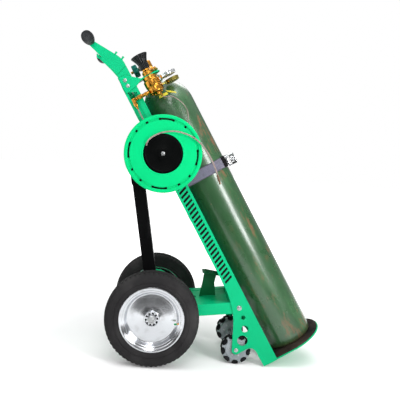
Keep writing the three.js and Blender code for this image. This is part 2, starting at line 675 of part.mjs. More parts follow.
// Plan of the strap: along a side plate, slanting to the cylinder, round its front and back again
function strapBand() {
  const radius = CYLINDER.radius + 0.8 + STRAP.thickness / 2;
  const [endU, bendU, side] = [-136, -97, FRAME_HALF - GAP - STRAP.thickness / 2];
  const tangent = Math.atan2(side, bendU) - Math.acos(radius / Math.hypot(bendU, side));
  const half = [];
  const steps = 9;
  for (let i = 0; i <= steps; i++) {
    const angle = tangent * (i / steps);
    half.push([radius * Math.cos(angle), radius * Math.sin(angle)]);
  }
  half.push([bendU, side], [endU, side]);
  const mirrored = half.slice(1).reverse().map(([u, y]) => [u, -y]);
  const middle = [...mirrored, ...half].map(([u, y]) => new THREE.Vector2(u, y));
  const offset = (distance) => middle.map((point, i) => {
    const before = middle[Math.max(i - 1, 0)];
    const after = middle[Math.min(i + 1, middle.length - 1)];
    const along = after.clone().sub(before).normalize();
    return new THREE.Vector2(point.x + along.y * distance, point.y - along.x * distance);
  });
  const shape = new THREE.Shape([...offset(STRAP.thickness / 2), ...offset(-STRAP.thickness / 2).reverse()]);
  return flatPlate(shape, STRAP.v - STRAP.width / 2, STRAP.v + STRAP.width / 2);
}

const BUCKLE = { pivot: 132, low: 860, high: 910, sheet: 3 };

function buckleBase() {
  const { pivot, low, high, sheet } = BUCKLE;
  const face = CYLINDER.radius + 0.8 + STRAP.thickness + 0.6;
  return join(
    box([face, -34, low], [face + sheet, 34, high]),
    box([face + 1, -18, low], [pivot + 4, 18, low + sheet]),
    box([face + 1, -18, high - sheet], [pivot + 4, 18, high]),
    rodUp(5, low + 1, high - 1).translate(pivot, 0, 0),
  );
}

function buckleLever() {
  const { pivot, low, high, sheet } = BUCKLE;
  const reach = 34;
  return join(
    box([pivot - 7, -8, low - GAP - sheet], [pivot + reach, 8, low - GAP]),
    box([pivot - 7, -8, high + GAP], [pivot + reach, 8, high + GAP + sheet]),
    box([pivot + 10, -8, low - GAP - sheet], [pivot + reach, -5, high + GAP + sheet]),
  );
}

function buildStrap() {
  add(lean, 'strap_band', strapBand(), WEBBING);
  add(lean, 'buckle_base', buckleBase(), STEEL);
  add(lean, 'buckle_lever', buckleLever(), STEEL);
}

buildFrame();
buildHandleAndBracket();
buildPost();
buildCarriage();
buildWheels();
buildCylinder();
buildRegulator();
buildReel();
buildHoses();
buildStrap();

export default cart;
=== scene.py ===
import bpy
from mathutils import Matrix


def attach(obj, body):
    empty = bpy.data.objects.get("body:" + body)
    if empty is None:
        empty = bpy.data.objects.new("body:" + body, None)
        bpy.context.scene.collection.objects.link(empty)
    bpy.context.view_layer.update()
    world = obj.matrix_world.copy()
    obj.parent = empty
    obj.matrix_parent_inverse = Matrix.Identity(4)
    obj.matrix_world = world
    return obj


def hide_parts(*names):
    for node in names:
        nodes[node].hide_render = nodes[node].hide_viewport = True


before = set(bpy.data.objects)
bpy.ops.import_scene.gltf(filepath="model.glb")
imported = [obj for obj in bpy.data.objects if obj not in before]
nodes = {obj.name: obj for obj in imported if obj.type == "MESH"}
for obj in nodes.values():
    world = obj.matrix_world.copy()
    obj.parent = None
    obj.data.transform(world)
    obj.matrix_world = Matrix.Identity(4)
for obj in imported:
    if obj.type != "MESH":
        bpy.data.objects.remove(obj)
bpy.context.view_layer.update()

from math import acos, atan2, cos, hypot, pi, radians, sin, sqrt

import bmesh
import bpy
from mathutils import Matrix, Vector

# Millimetres in the pieces' own frames. LEVEL has x from the wheel axle and z from the floor.
# LEAN is the back frame's: u forward along the shelf, y across, v up the gas cylinder's axis.
MM = 0.001
WHEEL_RADIUS = 207
LEVEL = Matrix.Translation((-0.2012, 0, 0))
AXLE_TO_SHELF = Matrix.Translation((0.499, 0, -0.434))
LEAN = LEVEL @ Matrix.Translation((0, 0, WHEEL_RADIUS * MM)) @ Matrix.Rotation(radians(-31.45), 4, "Y") @ AXLE_TO_SHELF
POST_TOP = (-225 + 499, 1175 - 434)
OMNI_PLACE = (387.3, 137, 68)
CARRIAGE_BOLT_PLACE = (387.5, 0, 260)
REEL_CENTRE = (-125.5, 0, 1048)
HANDLE_BAR_PLACE = (-185, 0, 1641)
HANDWHEEL_PLACE = (0, 0, 1460)
VALVE_OUTLET = (0, 0, 1432)
REGULATOR_FOOT = (-25, -150, 0)
REGULATOR_OUTLET = (0, -177, 1318)
OUTLET_ELBOW = (-134, -177, 0)
RELIEF_PLACE = (0, 0, 1400)
STRAP_HEIGHTS = (864.5, 915.5)


def moved(base, place):
    return base @ Matrix.Translation(Vector(place) * MM)


def polar(radius, angle):
    return radius * cos(angle), radius * sin(angle)


# ---- Camera ------------------------------------------------------------------------------------

def make_camera():
    camera = bpy.data.objects.new("camera", bpy.data.cameras.new("camera"))
    bpy.context.scene.collection.objects.link(camera)
    camera.data.lens = 47.24
    camera.data.shift_x, camera.data.shift_y = 0.03, -0.06
    aim = Vector((0.02296, 0.9994, -0.02608)).normalized()
    side = aim.cross(Vector((-0.07307, 0.02769, 0.99694))).normalized()
    turn = Matrix((side, side.cross(aim), -aim)).transposed()
    camera.matrix_world = Matrix.Translation((-0.1413, -2.5035, 0.8967)) @ turn.to_4x4()
    bpy.context.scene.camera = camera


make_camera()


# ---- Materials ---------------------------------------------------------------------------------

def srgb(red, green, blue):
    def linear(value):
        value /= 255
        return value / 12.92 if value <= 0.04045 else ((value + 0.055) / 1.055) ** 2.4
    return (linear(red), linear(green), linear(blue), 1)


class Look:
    """A procedural material: a principled shader with tone, roughness and relief laid over it."""

    def __init__(self, name, colour, roughness, metallic=0.0, coords="Object", **sockets):
        self.material = bpy.data.materials.new(name)
        self.material.use_nodes = True
        self.tree = self.material.node_tree
        self.shader = self.tree.nodes["Principled BSDF"]
        self.shader.inputs["Roughness"].default_value = roughness
        self.shader.inputs["Metallic"].default_value = metallic
        for socket, value in sockets.items():
            self.shader.inputs[socket.replace("_", " ")].default_value = value
        self.coords = self.node("ShaderNodeTexCoord").outputs[coords]
        self.colour = colour
        self.roughness = roughness
        self.relief = None

    def node(self, kind, settings=None, **inputs):
        made = self.tree.nodes.new(kind)
        for key, value in (settings or {}).items():
            setattr(made, key, value)
        for key, value in inputs.items():
            self.feed(made.inputs[key.replace("_", " ")], value)
        return made

    def feed(self, socket, value):
        if isinstance(value, bpy.types.NodeSocket):
            self.tree.links.new(value, socket)
        else:
            socket.default_value = value

    def stretched(self, scale):
        return self.node("ShaderNodeMapping", Vector=self.coords, Scale=scale).outputs["Vector"]

    def noise(self, scale, detail=4.0, stretch=None, rough=0.55):
        vector = self.stretched(stretch) if stretch else self.coords
        return self.node("ShaderNodeTexNoise", Vector=vector, Scale=scale, Detail=detail,
                         Roughness=rough).outputs["Fac"]

    def cells(self, scale):
        return self.node("ShaderNodeTexVoronoi", Vector=self.coords, Scale=scale).outputs["Distance"]

    def along(self, axis):
        return self.node("ShaderNodeSeparateXYZ", Vector=self.coords).outputs[axis]

    def maths(self, operation, first, second=0.0):
        made = self.node("ShaderNodeMath", {"operation": operation})
        self.feed(made.inputs[0], first)
        self.feed(made.inputs[1], second)
        return made.outputs[0]

    def span(self, value, low, high, to_low=0.0, to_high=1.0):
        made = self.node("ShaderNodeMapRange", Value=value)
        for key, number in (("From Min", low), ("From Max", high), ("To Min", to_low), ("To Max", to_high)):
            made.inputs[key].default_value = number
        return made.outputs["Result"]

    def blend(self, amount, first, second):
        made = self.node("ShaderNodeMix", {"data_type": "RGBA"})
        for index, value in ((0, amount), (6, first), (7, second)):
            self.feed(made.inputs[index], value)
        return made.outputs[2]

    def tint(self, amount, colour):
        self.colour = self.blend(amount, self.colour, colour)
        return self

    def mottle(self, scale, colour, low=0.42, high=0.68, stretch=None):
        return self.tint(self.span(self.noise(scale, 5.0, stretch), low, high), colour)

    def gloss(self, scale, low, high):
        self.roughness = self.span(self.noise(scale, 5.0), 0.35, 0.68, low, high)
        return self

    def raise_by(self, height, distance, strength=1.0):
        made = self.node("ShaderNodeBump", Height=height, Distance=distance, Strength=strength)
        if self.relief:
            self.feed(made.inputs["Normal"], self.relief)
        self.relief = made.outputs["Normal"]
        return self

    def grain(self, scale, distance):
        return self.raise_by(self.noise(scale, 3.0), distance)

    def done(self):
        self.feed(self.shader.inputs["Base Color"], self.colour)
        self.feed(self.shader.inputs["Roughness"], self.roughness)
        if self.relief:
            self.feed(self.shader.inputs["Normal"], self.relief)
        return self.material


def painted(name, colour, shade, scuff, roughness=0.34, specular=0.12):
    """Powder coat on steel: fine orange peel, soft mottling, small dull scuffs and a few chips."""
    look = Look(name, colour, roughness, 0.0, Specular_IOR_Level=specular)
    look.mottle(3.2, shade).gloss(14, roughness - 0.06, roughness + 0.16)
    look.mottle(26, scuff, 0.68, 0.86, (1, 1, 0.35))
    look.tint(look.span(look.noise(45, 6), 0.78, 0.84), srgb(60, 66, 60))
    return look.grain(260, 0.00006).grain(9, 0.0006).done()


def cylinder_paint():
    """Old enamel on a steel gas cylinder, rubbed along its front and rusting low down."""
    look = Look("cylinder_enamel", srgb(40, 82, 46), 0.3, 0.0, Specular_IOR_Level=0.5, Coat_Weight=0.9,
                Coat_Roughness=0.22)
    look.mottle(5, srgb(36, 74, 42)).mottle(14, srgb(56, 100, 60), 0.52, 0.72, (1, 1, 0.3))
    front = look.span(look.along(0), 0.035, 0.09)
    low = look.span(look.along(2), 0.75, 0.05)
    exposed = look.maths("MAXIMUM", look.maths("MULTIPLY", front, 0.8), look.maths("MULTIPLY", low, 0.55))
    streaks = look.span(look.noise(26, 8, (1, 1, 0.3), 0.68), 0.55, 0.64)
    rust = look.maths("MULTIPLY", streaks, exposed)
    look.tint(rust, look.blend(look.noise(90), srgb(92, 52, 30), srgb(150, 92, 58)))
    specks = look.span(look.noise(120, 6), 0.66, 0.7)
    look.tint(look.maths("MULTIPLY", specks, 0.7), srgb(112, 84, 56))
    worn = look.span(look.noise(60, 7, (1, 1, 0.4)), 0.66, 0.72)
    look.tint(look.maths("MULTIPLY", worn, 0.35), srgb(96, 128, 96))
    ring = look.span(look.along(2), 0.03, 0.0)
    look.tint(look.maths("MULTIPLY", ring, 0.8), srgb(62, 44, 32))
    look.roughness = look.maths("ADD", look.span(look.noise(11), 0.35, 0.7, 0.24, 0.42),
                                look.maths("MULTIPLY", rust, 0.4))
    return look.raise_by(rust, 0.0006, 0.6).grain(210, 0.0004).grain(7, 0.003).done()


def rubber(name, colour, dust, scale=60):
    look = Look(name, colour, 0.72, Specular_IOR_Level=0.08)
    look.mottle(scale / 8, dust, 0.45, 0.75).gloss(30, 0.6, 0.85)
    return look.grain(scale * 12, 0.0004).grain(scale, 0.0008).done()


def metal(name, colour, dark, roughness, grain_scale=180):
    look = Look(name, colour, roughness, 1.0)
    look.mottle(18, dark, 0.48, 0.72).gloss(42, roughness * 0.7, roughness * 1.6)
    return look.grain(grain_scale, 0.00008).done()


def turned_aluminium():
    """Polished aluminium, spun round the wheel's axis, with fine turning marks and a little brake dust."""
    look = Look("turned_aluminium", srgb(212, 214, 218), 0.17, 1.0, Anisotropic=0.85, Anisotropic_Rotation=0.25)
    tangent = look.node("ShaderNodeTangent", {"direction_type": "RADIAL", "axis": "Y"})
    look.feed(look.shader.inputs["Tangent"], tangent.outputs["Tangent"])
    x, z = look.along(0), look.along(2)
    reach = look.maths("SQRT", look.maths("ADD", look.maths("MULTIPLY", x, x), look.maths("MULTIPLY", z, z)))
    marks = look.maths("SINE", look.maths("MULTIPLY", reach, 5200.0))
    look.mottle(30, srgb(186, 187, 190), 0.5, 0.8).gloss(6, 0.18, 0.24)
    return look.raise_by(marks, 0.00004, 0.35).done()


def plastic(name, colour, shade, roughness=0.32, specular=0.15):
    look = Look(name, colour, roughness, Specular_IOR_Level=specular)
    look.mottle(6, shade).gloss(20, roughness - 0.08, roughness + 0.14)
    return look.grain(420, 0.00008).grain(14, 0.0006).done()


def woven(name, colour, thread, dark):
    """Webbing: u runs along the strap and v across it, both in metres."""
    look = Look(name, colour, 0.85, coords="UV", Sheen_Weight=0.3)
    u, v = look.along(0), look.along(1)
    warp = look.maths("SINE", look.maths("MULTIPLY", v, 3300.0))
    weft = look.maths("SINE", look.maths("MULTIPLY", u, 2300.0))
    weave = look.maths("MULTIPLY", warp, weft)
    look.tint(look.span(weave, -0.6, 0.8), thread)
    edge = look.maths("ABSOLUTE", look.maths("SUBTRACT", v, 0.0255))
    look.tint(look.span(edge, 0.0205, 0.0225), dark)
    look.mottle(40, dark, 0.55, 0.8)
    return look.raise_by(weave, 0.0005).raise_by(look.span(edge, 0.019, 0.0215), 0.0006).done()


def hose_cover():
    look = Look("hose_cover", srgb(146, 128, 122), 0.55)
    look.mottle(60, srgb(118, 102, 98)).gloss(80, 0.45, 0.7)
    return look.raise_by(look.cells(900), 0.0004).done()


def knurled(name, colour):
    look = Look(name, colour, 0.6, Specular_IOR_Level=0.12)
    look.mottle(20, srgb(58, 60, 62)).gloss(60, 0.5, 0.75)
    return look.raise_by(look.span(look.cells(330), 0.1, 0.5), 0.0012).done()


def clear_lens():
    look = Look("gauge_lens", (1, 1, 1, 1), 0.03, Transmission_Weight=1.0, IOR=1.45)
    look.gloss(40, 0.02, 0.06)
    return look.done()


GREEN = painted("green_powder_coat", srgb(0, 178, 120), srgb(0, 166, 110), srgb(50, 190, 144))
# A darker copy of the frame's green, used on the step: painted shade for the step's side that faces away from the
# light.
GREEN_PAINTED_SHADE = painted("dark_green_paint", srgb(10, 112, 66), srgb(8, 96, 56), srgb(110, 150, 126))
POST_BLACK = painted("black_powder_coat", srgb(12, 12, 13), srgb(8, 8, 9), srgb(34, 34, 36), 0.42, 0.05)
CASE = plastic("reel_case_plastic", srgb(0, 188, 114), srgb(0, 180, 108), 0.4, 0.06)
# A darker copy of the case green: painted shade for the floor of the reel face's outer groove.
CASE_PAINTED_SHADE = plastic("painted_shade_groove_plastic", srgb(0, 118, 70), srgb(0, 102, 60), 0.45, 0.05)
SPOOL_BLACK = plastic("spool_plastic", srgb(5, 6, 6), srgb(10, 11, 11), 0.34, 0.05)
KNOB_BLACK = plastic("knob_plastic", srgb(8, 9, 11), srgb(16, 17, 19), 0.2, 0.3)
GREY_PLASTIC = plastic("omni_frame_plastic", srgb(150, 156, 160), srgb(122, 128, 133), 0.42)
TEAL = plastic("handwheel_plastic", srgb(10, 92, 80), srgb(8, 74, 66), 0.4)
TYRE = rubber("tyre_rubber", srgb(38, 37, 38), srgb(58, 57, 57))
ROLLER = rubber("roller_rubber", srgb(22, 23, 25), srgb(50, 50, 52), 90)
MAT = rubber("mat_rubber", srgb(26, 24, 24), srgb(74, 62, 54), 40)
GRIP = knurled("grip_rubber", srgb(30, 32, 34))
ALUMINIUM = turned_aluminium()
ZINC = metal("zinc_plate", srgb(190, 192, 194), srgb(150, 148, 144), 0.28)
CHROME = metal("chrome", srgb(224, 226, 228), srgb(196, 198, 200), 0.1, 60)
BRASS = metal("brass", srgb(206, 146, 56), srgb(180, 120, 44), 0.2, 120)
OLD_BRASS = metal("old_brass", srgb(150, 140, 70), srgb(112, 100, 52), 0.34)
WEBBING = woven("webbing", srgb(88, 86, 106), srgb(112, 110, 130), srgb(60, 58, 72))
STRAP_PAD = rubber("strap_pad_rubber", srgb(14, 14, 15), srgb(34, 34, 36))
HOSE = hose_cover()
DULL_BRASS = metal("dull_brass", srgb(136, 112, 92), srgb(104, 84, 70), 0.38)
LABEL = Look("label_film", srgb(226, 214, 60), 0.5).mottle(60, srgb(190, 176, 70)).grain(300, 0.0002).done()
DIAL = Look("dial_face", srgb(236, 236, 230), 0.55).mottle(40, srgb(222, 221, 212)).grain(500, 0.0001).done()
VINYL = Look("marking_vinyl", srgb(8, 10, 10), 0.5, Specular_IOR_Level=0.1)
VINYL = VINYL.mottle(70, srgb(18, 26, 22)).grain(260, 0.0002).done()
LENS = clear_lens()
CAP_GREEN = plastic("valve_cap_plastic", srgb(22, 150, 92), srgb(16, 122, 74))
ENAMEL = cylinder_paint()


# ---- Mesh helpers ------------------------------------------------------------------------------

def rounded(points, radius, steps=3, closed=False):
    """The same profile with every corner turned into a small arc."""
    made = []
    for i, corner in enumerate(points):
        corner = Vector(corner)
        if not closed and i in (0, len(points) - 1):
            made.append(corner)
            continue
        before, after = Vector(points[i - 1]) - corner, Vector(points[(i + 1) % len(points)]) - corner
        reach = min(radius, before.length * 0.45, after.length * 0.45)
        start, end = corner + before.normalized() * reach, corner + after.normalized() * reach
        for step in range(steps + 1):
            t = step / steps
            made.append((1 - t) ** 2 * start + 2 * t * (1 - t) * corner + t * t * end)
    return [tuple(point) for point in made]


def hexagonal(radius, height, angle):
    return radius * cos(pi / 6) / cos(angle % (pi / 3) - pi / 6), height


def fluted(count, depth, above=0.0):
    def vary(radius, height, angle):
        return (radius - depth * (0.5 - 0.5 * cos(count * angle)) ** 2 if radius > above else radius), height
    return vary


AXES = {
    "X": lambda r, h, a: (h, r * cos(a), r * sin(a)),
    "Y": lambda r, h, a: (r * cos(a), h, r * sin(a)),
    "Z": lambda r, h, a: (*polar(r, a), h),
}


class Piece:
    """A mesh that is put together from shapes, in millimetres, in one frame."""

    def __init__(self):
        self.bm = bmesh.new()
        self.place = Matrix.Identity(4)

    def aim(self, at, direction):
        """The next shapes stand at a point with their z along a direction."""
        self.place = Matrix.Translation(at) @ Vector(direction).to_track_quat("Z", "Y").to_matrix().to_4x4()
        return self

    def vertex(self, point):
        return self.bm.verts.new((self.place @ Vector(point)) * MM)

    def lathe(self, profile, facets=64, axis="Z", closed=False, vary=None, at=(0, 0, 0)):
        rings = []
        for i in range(facets):
            angle = 2 * pi * i / facets
            ring = [vary(r, h, angle) if vary else (r, h) for r, h in profile]
            rings.append([self.vertex(Vector(AXES[axis](r, h, angle)) + Vector(at)) for r, h in ring])
        last = len(profile) if closed else len(profile) - 1
        for i in range(facets):
            one, other = rings[i], rings[(i + 1) % facets]
            for j in range(last):
                k = (j + 1) % len(profile)
                self.bm.faces.new((one[j], other[j], other[k], one[k]))
        return self

    def rod(self, radius, low, high, axis="Z", at=(0, 0, 0), facets=40, edge=0.8, vary=None):
        profile = rounded([(0, low), (radius, low), (radius, high), (0, high)], edge, 2)
        return self.lathe(profile, facets, axis, vary=vary, at=at)

    def hexagon(self, radius, low, high, axis="Z", at=(0, 0, 0), facets=48):
        return self.rod(radius, low, high, axis, at, facets, vary=hexagonal)

    def plate(self, outline, low, high, upright=False, edge=0.5, holes=()):
        """A sheet with softened edges: in plan, or standing in the (forward, up) plane."""
        curve = bpy.data.curves.new("outline", "CURVE")
        curve.dimensions = "2D"
        curve.fill_mode = "BOTH"
        curve.extrude = (high - low) / 2 - edge
        curve.bevel_depth = edge
        curve.bevel_resolution = 1
        curve.offset = -edge
        rings = [outline] + [[(a + r * cos(t * pi / 16), b + r * sin(t * pi / 16))
                              for t in range(32)] for a, b, r in holes]
        for ring in rings:
            spline = curve.splines.new("POLY")
            spline.points.add(len(ring) - 1)
            for point, (a, b) in zip(spline.points, ring):
                point.co = (a, b, 0, 1)
            spline.use_cyclic_u = True
        holder = bpy.data.objects.new("outline", curve)
        mesh = bpy.data.meshes.new_from_object(holder)
        turn = Matrix.Rotation(pi / 2, 4, "X") if upright else Matrix.Identity(4)
        middle = (low + high) / 2
        mesh.transform(Matrix.Scale(MM, 4) @ self.place @ Matrix.Translation(
            (0, middle, 0) if upright else (0, 0, middle)) @ turn)
        self.bm.from_mesh(mesh)
        bpy.data.meshes.remove(mesh)
        bpy.data.objects.remove(holder)
        bpy.data.curves.remove(curve)
        return self

    def brick(self, low, high, edge=0.6):
        outline = [(low[0], low[1]), (high[0], low[1]), (high[0], high[1]), (low[0], high[1])]
        return self.plate(outline, low[2], high[2], edge=edge)

    def weld(self, start, end, size=2.6):
        """A rippled fillet bead."""
        start, end = Vector(start), Vector(end)
        length = (end - start).length
        count = max(4, int(length / 1.6))
        before, self.place = self.place, Matrix.Identity(4)
        self.aim(start, end - start)
        profile = [(0, 0)]
        for i in range(1, count):
            ripple = 0.82 + 0.18 * abs(sin(i * 1.1)) if 1 < i < count - 1 else 0.55
            profile.append((size * ripple, length * i / count))
        self.lathe(profile + [(0, length)], 10)
        self.place = before
        return self

    def done(self, name, base, body, look, slot, replaced=(), sharp=36):
        bmesh.ops.remove_doubles(self.bm, verts=self.bm.verts, dist=1e-6)
        bmesh.ops.recalc_face_normals(self.bm, faces=self.bm.faces)
        mesh = bpy.data.meshes.new(name)
        self.bm.to_mesh(mesh)
        self.bm.free()
        mesh.polygons.foreach_set("use_smooth", [True] * len(mesh.polygons))
        mesh.set_sharp_from_angle(angle=radians(sharp))
        mesh.materials.append(look)
        return settle(bpy.data.objects.new(name, mesh), base, body, replaced)


def settle(piece, base, body, replaced=()):
    bpy.context.scene.collection.objects.link(piece)
    piece.matrix_world = base
    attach(piece, body)
    if replaced:
        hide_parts(*replaced)
    return piece


def tube(name, points, diameter, look, replaced):
    """A smooth round line through points of the leaning frame."""
    curve = bpy.data.curves.new(name, "CURVE")
    curve.dimensions = "3D"
    curve.bevel_depth = diameter * MM / 2
    curve.bevel_resolution = 5
    curve.use_fill_caps = True
    spline = curve.splines.new("BEZIER")
    spline.bezier_points.add(len(points) - 1)
    for knot, point in zip(spline.bezier_points, points):
        knot.co = Vector(point) * MM
        knot.handle_left_type = knot.handle_right_type = "AUTO"
    curve.materials.append(look)
    return settle(bpy.data.objects.new(name, curve), LEAN, "cart", replaced)


# ---- Hoses -------------------------------------------------------------------------------------

FREE_HOSE = [
    (-172, -260.8, 1112), (-170, -264, 1114.6), (-163.5, -270.2, 1121), (-152, -273.8, 1127.4), (-126, -275, 1132),
    (-98, -275, 1130.6), (-66, -275, 1122), (-36, -275, 1108), (-9, -274, 1086), (13, -272, 1061), (30, -270, 1031),
    (41, -268, 995), (46, -266, 955), (46, -264, 915), (42.5, -262, 880), (39.4, -261, 862),
]
SENSING_LINE = [
    (-12, -150, 1291.2), (-12, -150, 1283), (-2, -150, 1272), (22, -151, 1262), (45, -152, 1230), (57, -151, 1193),
    (54, -150, 1159), (38, -150, 1131), (14, -149, 1108), (-12, -149, 1094), (-34, -151, 1087), (-42, -158, 1085),
    (-42, -164.6, 1085),
]
SUPPLY_HOSE = [(-134, -177, 1287.6), (-135, -177.5, 1262), (-136, -177.5, 1240), (-135, -177, 1216.9)]
INLET_PIPE = [
    (0, -48.4, 1432), (0, -62, 1432), (-4, -78, 1424), (-12, -86, 1402), (-20, -88, 1376), (-25, -94, 1354),
    (-25, -103, 1346.5), (-25, -112, 1346),
]


def build_hoses():
    hose = tube("hose_tail", FREE_HOSE, 6.5, HOSE, ["free_hose"])
    end, before = Vector(FREE_HOSE[-1]), Vector(FREE_HOSE[-2])
    fitting = Piece().aim(end, end - before)
    fitting.lathe(rounded([(0, 0.4), (4.6, 0.4), (5, 1.5), (5, 11), (4.2, 12), (4.2, 13)], 0.4), 40)
    fitting.lathe(rounded([(0, 13), (6, 13), (6, 30), (0, 30)], 0.5), 72, vary=fluted(24, 0.5, 5.5))
    fitting.lathe(rounded([(0, 30), (4, 30), (4, 33), (3.4, 34), (4, 35.5), (4, 42), (3.2, 44), (1.6, 44),
                           (1.6, 38), (0, 38)], 0.3), 40)
    tip = fitting.done("hose_tail_fitting", LEAN, "cart", DULL_BRASS, "brass", ["hose_end_fitting"])
    tube("capillary_line", SENSING_LINE, 4.4, HOSE, ["sensing_line"])
    tube("reel_supply_hose", SUPPLY_HOSE, 6.5, HOSE, ["supply_hose"])
    tube("regulator_inlet_pipe", INLET_PIPE, 10, BRASS, ["inlet_pipe"])
    ferrules = Piece()
    for point, direction, radius in (
        ((-134, -177, 1288), (0, 0, -1), 5.2), ((-12, -150, 1292), (0, 0, -1), 4.2),
        ((0, -47.5, 1432), (0, -1, 0), 9), ((-25, -113, 1346), (0, 1, 0), 9),
    ):
        ferrules.aim(point, direction)
        ferrules.lathe(rounded([(0, 0), (radius, 0), (radius, 8), (0, 8)], 0.6), 48, vary=hexagonal)
        ferrules.lathe(rounded([(0, 8), (radius * 0.8, 8), (radius * 0.7, 13), (0, 13)], 0.4), 40)
    ferrules.done("hose_ferrules", LEAN, "cart", BRASS, "brass")


build_hoses()


# ---- Painted sheet metal and tubes, kept from the CAD -------------------------------------------

def dress(node, look, edge=0.8):
    """A CAD piece with its edges softened and its own finish."""
    piece = nodes[node]
    piece.data.polygons.foreach_set("use_smooth", [True] * len(piece.data.polygons))
    if piece.material_slots:
        for held in piece.material_slots:
            held.material = look
    else:
        piece.data.materials.append(look)
    welded = piece.modifiers.new("welded", "WELD")
    welded.merge_threshold = 1e-5
    softened = piece.modifiers.new("softened", "BEVEL")
    softened.width = edge * MM
    softened.segments = 2
    softened.limit_method = "ANGLE"
    softened.angle_limit = radians(40)
    piece.modifiers.new("shaded", "WEIGHTED_NORMAL").weight = 60


for green in (
    "side_plate_right", "side_plate_left", "back_panel", "saddle_lower", "saddle_upper", "shelf_plate",
    "handle_arm_right", "handle_arm_left", "regulator_bracket", "carriage_arm_right", "carriage_arm_left",
    "carriage_cross_plate", "axle_yoke",
):
    dress(green, GREEN)
for black in ("post_tube", "post_sleeve", "post_lug"):
    dress(black, POST_BLACK)
# The step and its tread bars in the darker green: painted shade.
dress("step_plate", GREEN_PAINTED_SHADE, 0.5)
dress("shelf_mat", MAT, 1.2)
for needle in ("gauge_needle_high", "gauge_needle_low"):
    dress(needle, KNOB_BLACK, 0.15)

def build_frame_details():
    beads = Piece()
    for side in (-1, 1):
        wall = side * 159.5
        for v in (156.4, 1096.4):
            beads.weld((-146, wall, v), (-100, wall, v))
        for v in (149.6, 1089.6):
            beads.weld((-146, wall, v), (-100, wall, v))
        for low in range(380, 1400, 170):
            beads.weld((-147.4, wall, low), (-147.4, wall, low + 45))
            beads.weld((-153.6, wall, low), (-153.6, wall, low + 45))
        beads.weld((-145, wall, -11.5), (-96, wall, -11.5), 3)
    beads.done("frame_weld_beads", LEAN, "cart", GREEN, "green_paint", sharp=60)

    yoke = Piece()
    for side in (-1, 1):
        for y in (28.6, 34.4):
            for start, end in (((-22, 214), (-14, 226)), ((-14, 226), (0, 230.5)), ((0, 230.5), (14, 226)),
                               ((14, 226), (22, 214))):
                yoke.weld((start[0], side * y, start[1]), (end[0], side * y, end[1]), 2.2)
    yoke.weld((226, -2.8, 261), (283, -2.8, 268.5), 2).weld((226, 2.8, 261), (283, 2.8, 268.5), 2)
    yoke.done("carriage_weld_beads", LEVEL, "cart", GREEN, "green_paint", sharp=60)

    tread = Piece()
    for step in range(-3, 4):
        y = step * 11
        tread.plate([(232, 385.2), (292, 376.8), (292.2, 378.6), (232.2, 387)], y - 2, y + 2, upright=True, edge=0.3)
    tread.done("step_tread_bars", LEVEL, "cart", GREEN_PAINTED_SHADE, "dark_green_paint")

    pressing = Piece()
    for side in (-1, 1):
        low, high = sorted((side * 164.9, side * 166.4))
        ring = []
        for centre, start in ((1300, 0), (1185, pi)):
            ring += [(-113 + 9 * cos(start + t * pi / 12), centre + 9 * sin(start + t * pi / 12))
                     for t in range(13)]
        inner = [(-113 + (u + 113) * 0.6, v + (3.4 if v < 1240 else -3.4)) for u, v in ring]
        pressing.plate(ring, low, high, upright=True, edge=0.6)
        pressing.plate(inner, *sorted((side * 165.8, side * 167.0)), upright=True, edge=0.5)
    pressing.done("side_plate_pressings", LEAN, "cart", GREEN, "green_paint")

    bars = Piece()
    slant, width, pitch = 15, 10.5, 20.4
    for i in range(24):
        v = 402 + i * pitch
        bars.plate([(-145, v), (-106, v + slant), (-106, v + slant + width), (-145, v + width)],
                   -165.5, -164.9, upright=True, edge=0.1)
    bars.done("side_plate_marking", LEAN, "cart", VINYL, "black_paint")

    pegs = Piece()
    for u, v in ((-110, 1541), (-93, 1509)):
        pegs.aim((u, -157.2, v), (0.87, 0, 0.5))
        pegs.lathe(rounded([(0, -6), (4, -6), (4, 3), (5, 4), (5, 7), (3.5, 8.5), (0, 8.5)], 0.8), 32)
    pegs.done("handle_arm_pegs", LEAN, "cart", GREEN, "green_paint")


build_frame_details()


def button_head(piece, at, direction, radius, length, washer=1.35):
    """A domed socket screw on its washer."""
    piece.aim(at, direction)
    piece.lathe(rounded([(0, 0), (radius * washer, 0), (radius * washer, 1.2), (0, 1.2)], 0.4), 48)
    piece.lathe([(radius, 1.2), (radius, length * 0.45), (radius * 0.93, length * 0.68), (radius * 0.75, length * 0.9),
                 (radius * 0.52, length), (radius * 0.42, length), (radius * 0.4, length * 0.5),
                 (0, length * 0.45)], 48)


def nut(piece, at, direction, radius, length, bore):
    """A chamfered hexagon nut with the end of its bolt standing in it."""
    piece.aim(at, direction)
    piece.lathe(rounded([(0, 0), (radius, 0), (radius, length * 0.9), (radius * 0.9, length), (bore, length),
                         (bore, length * 0.7), (0, length * 0.7)], 0.5), 72, vary=lambda r, h, a: (
                             hexagonal(r, h, a) if r > bore + 0.6 else (r, h)))
    piece.lathe(rounded([(0, length * 0.6), (bore - 0.6, length * 0.6), (bore - 0.6, length * 0.95),
                         (bore - 1.6, length), (0, length)], 0.3), 40)


def cross_bolt(name, node, base, at, radius, ends, seats, head, nut_size):
    """A bolt across the cart, with its domed head on the right and its nut on the left."""
    x, z = at
    bolt = Piece().rod(radius, *ends, "Y", (x, 0, z))
    button_head(bolt, (x, seats[0], z), (0, -1, 0), *head)
    nut(bolt, (x, seats[1], z), (0, 1, 0), *nut_size)
    bolt.done(name, base, "cart", ZINC, "zinc_steel", [node])


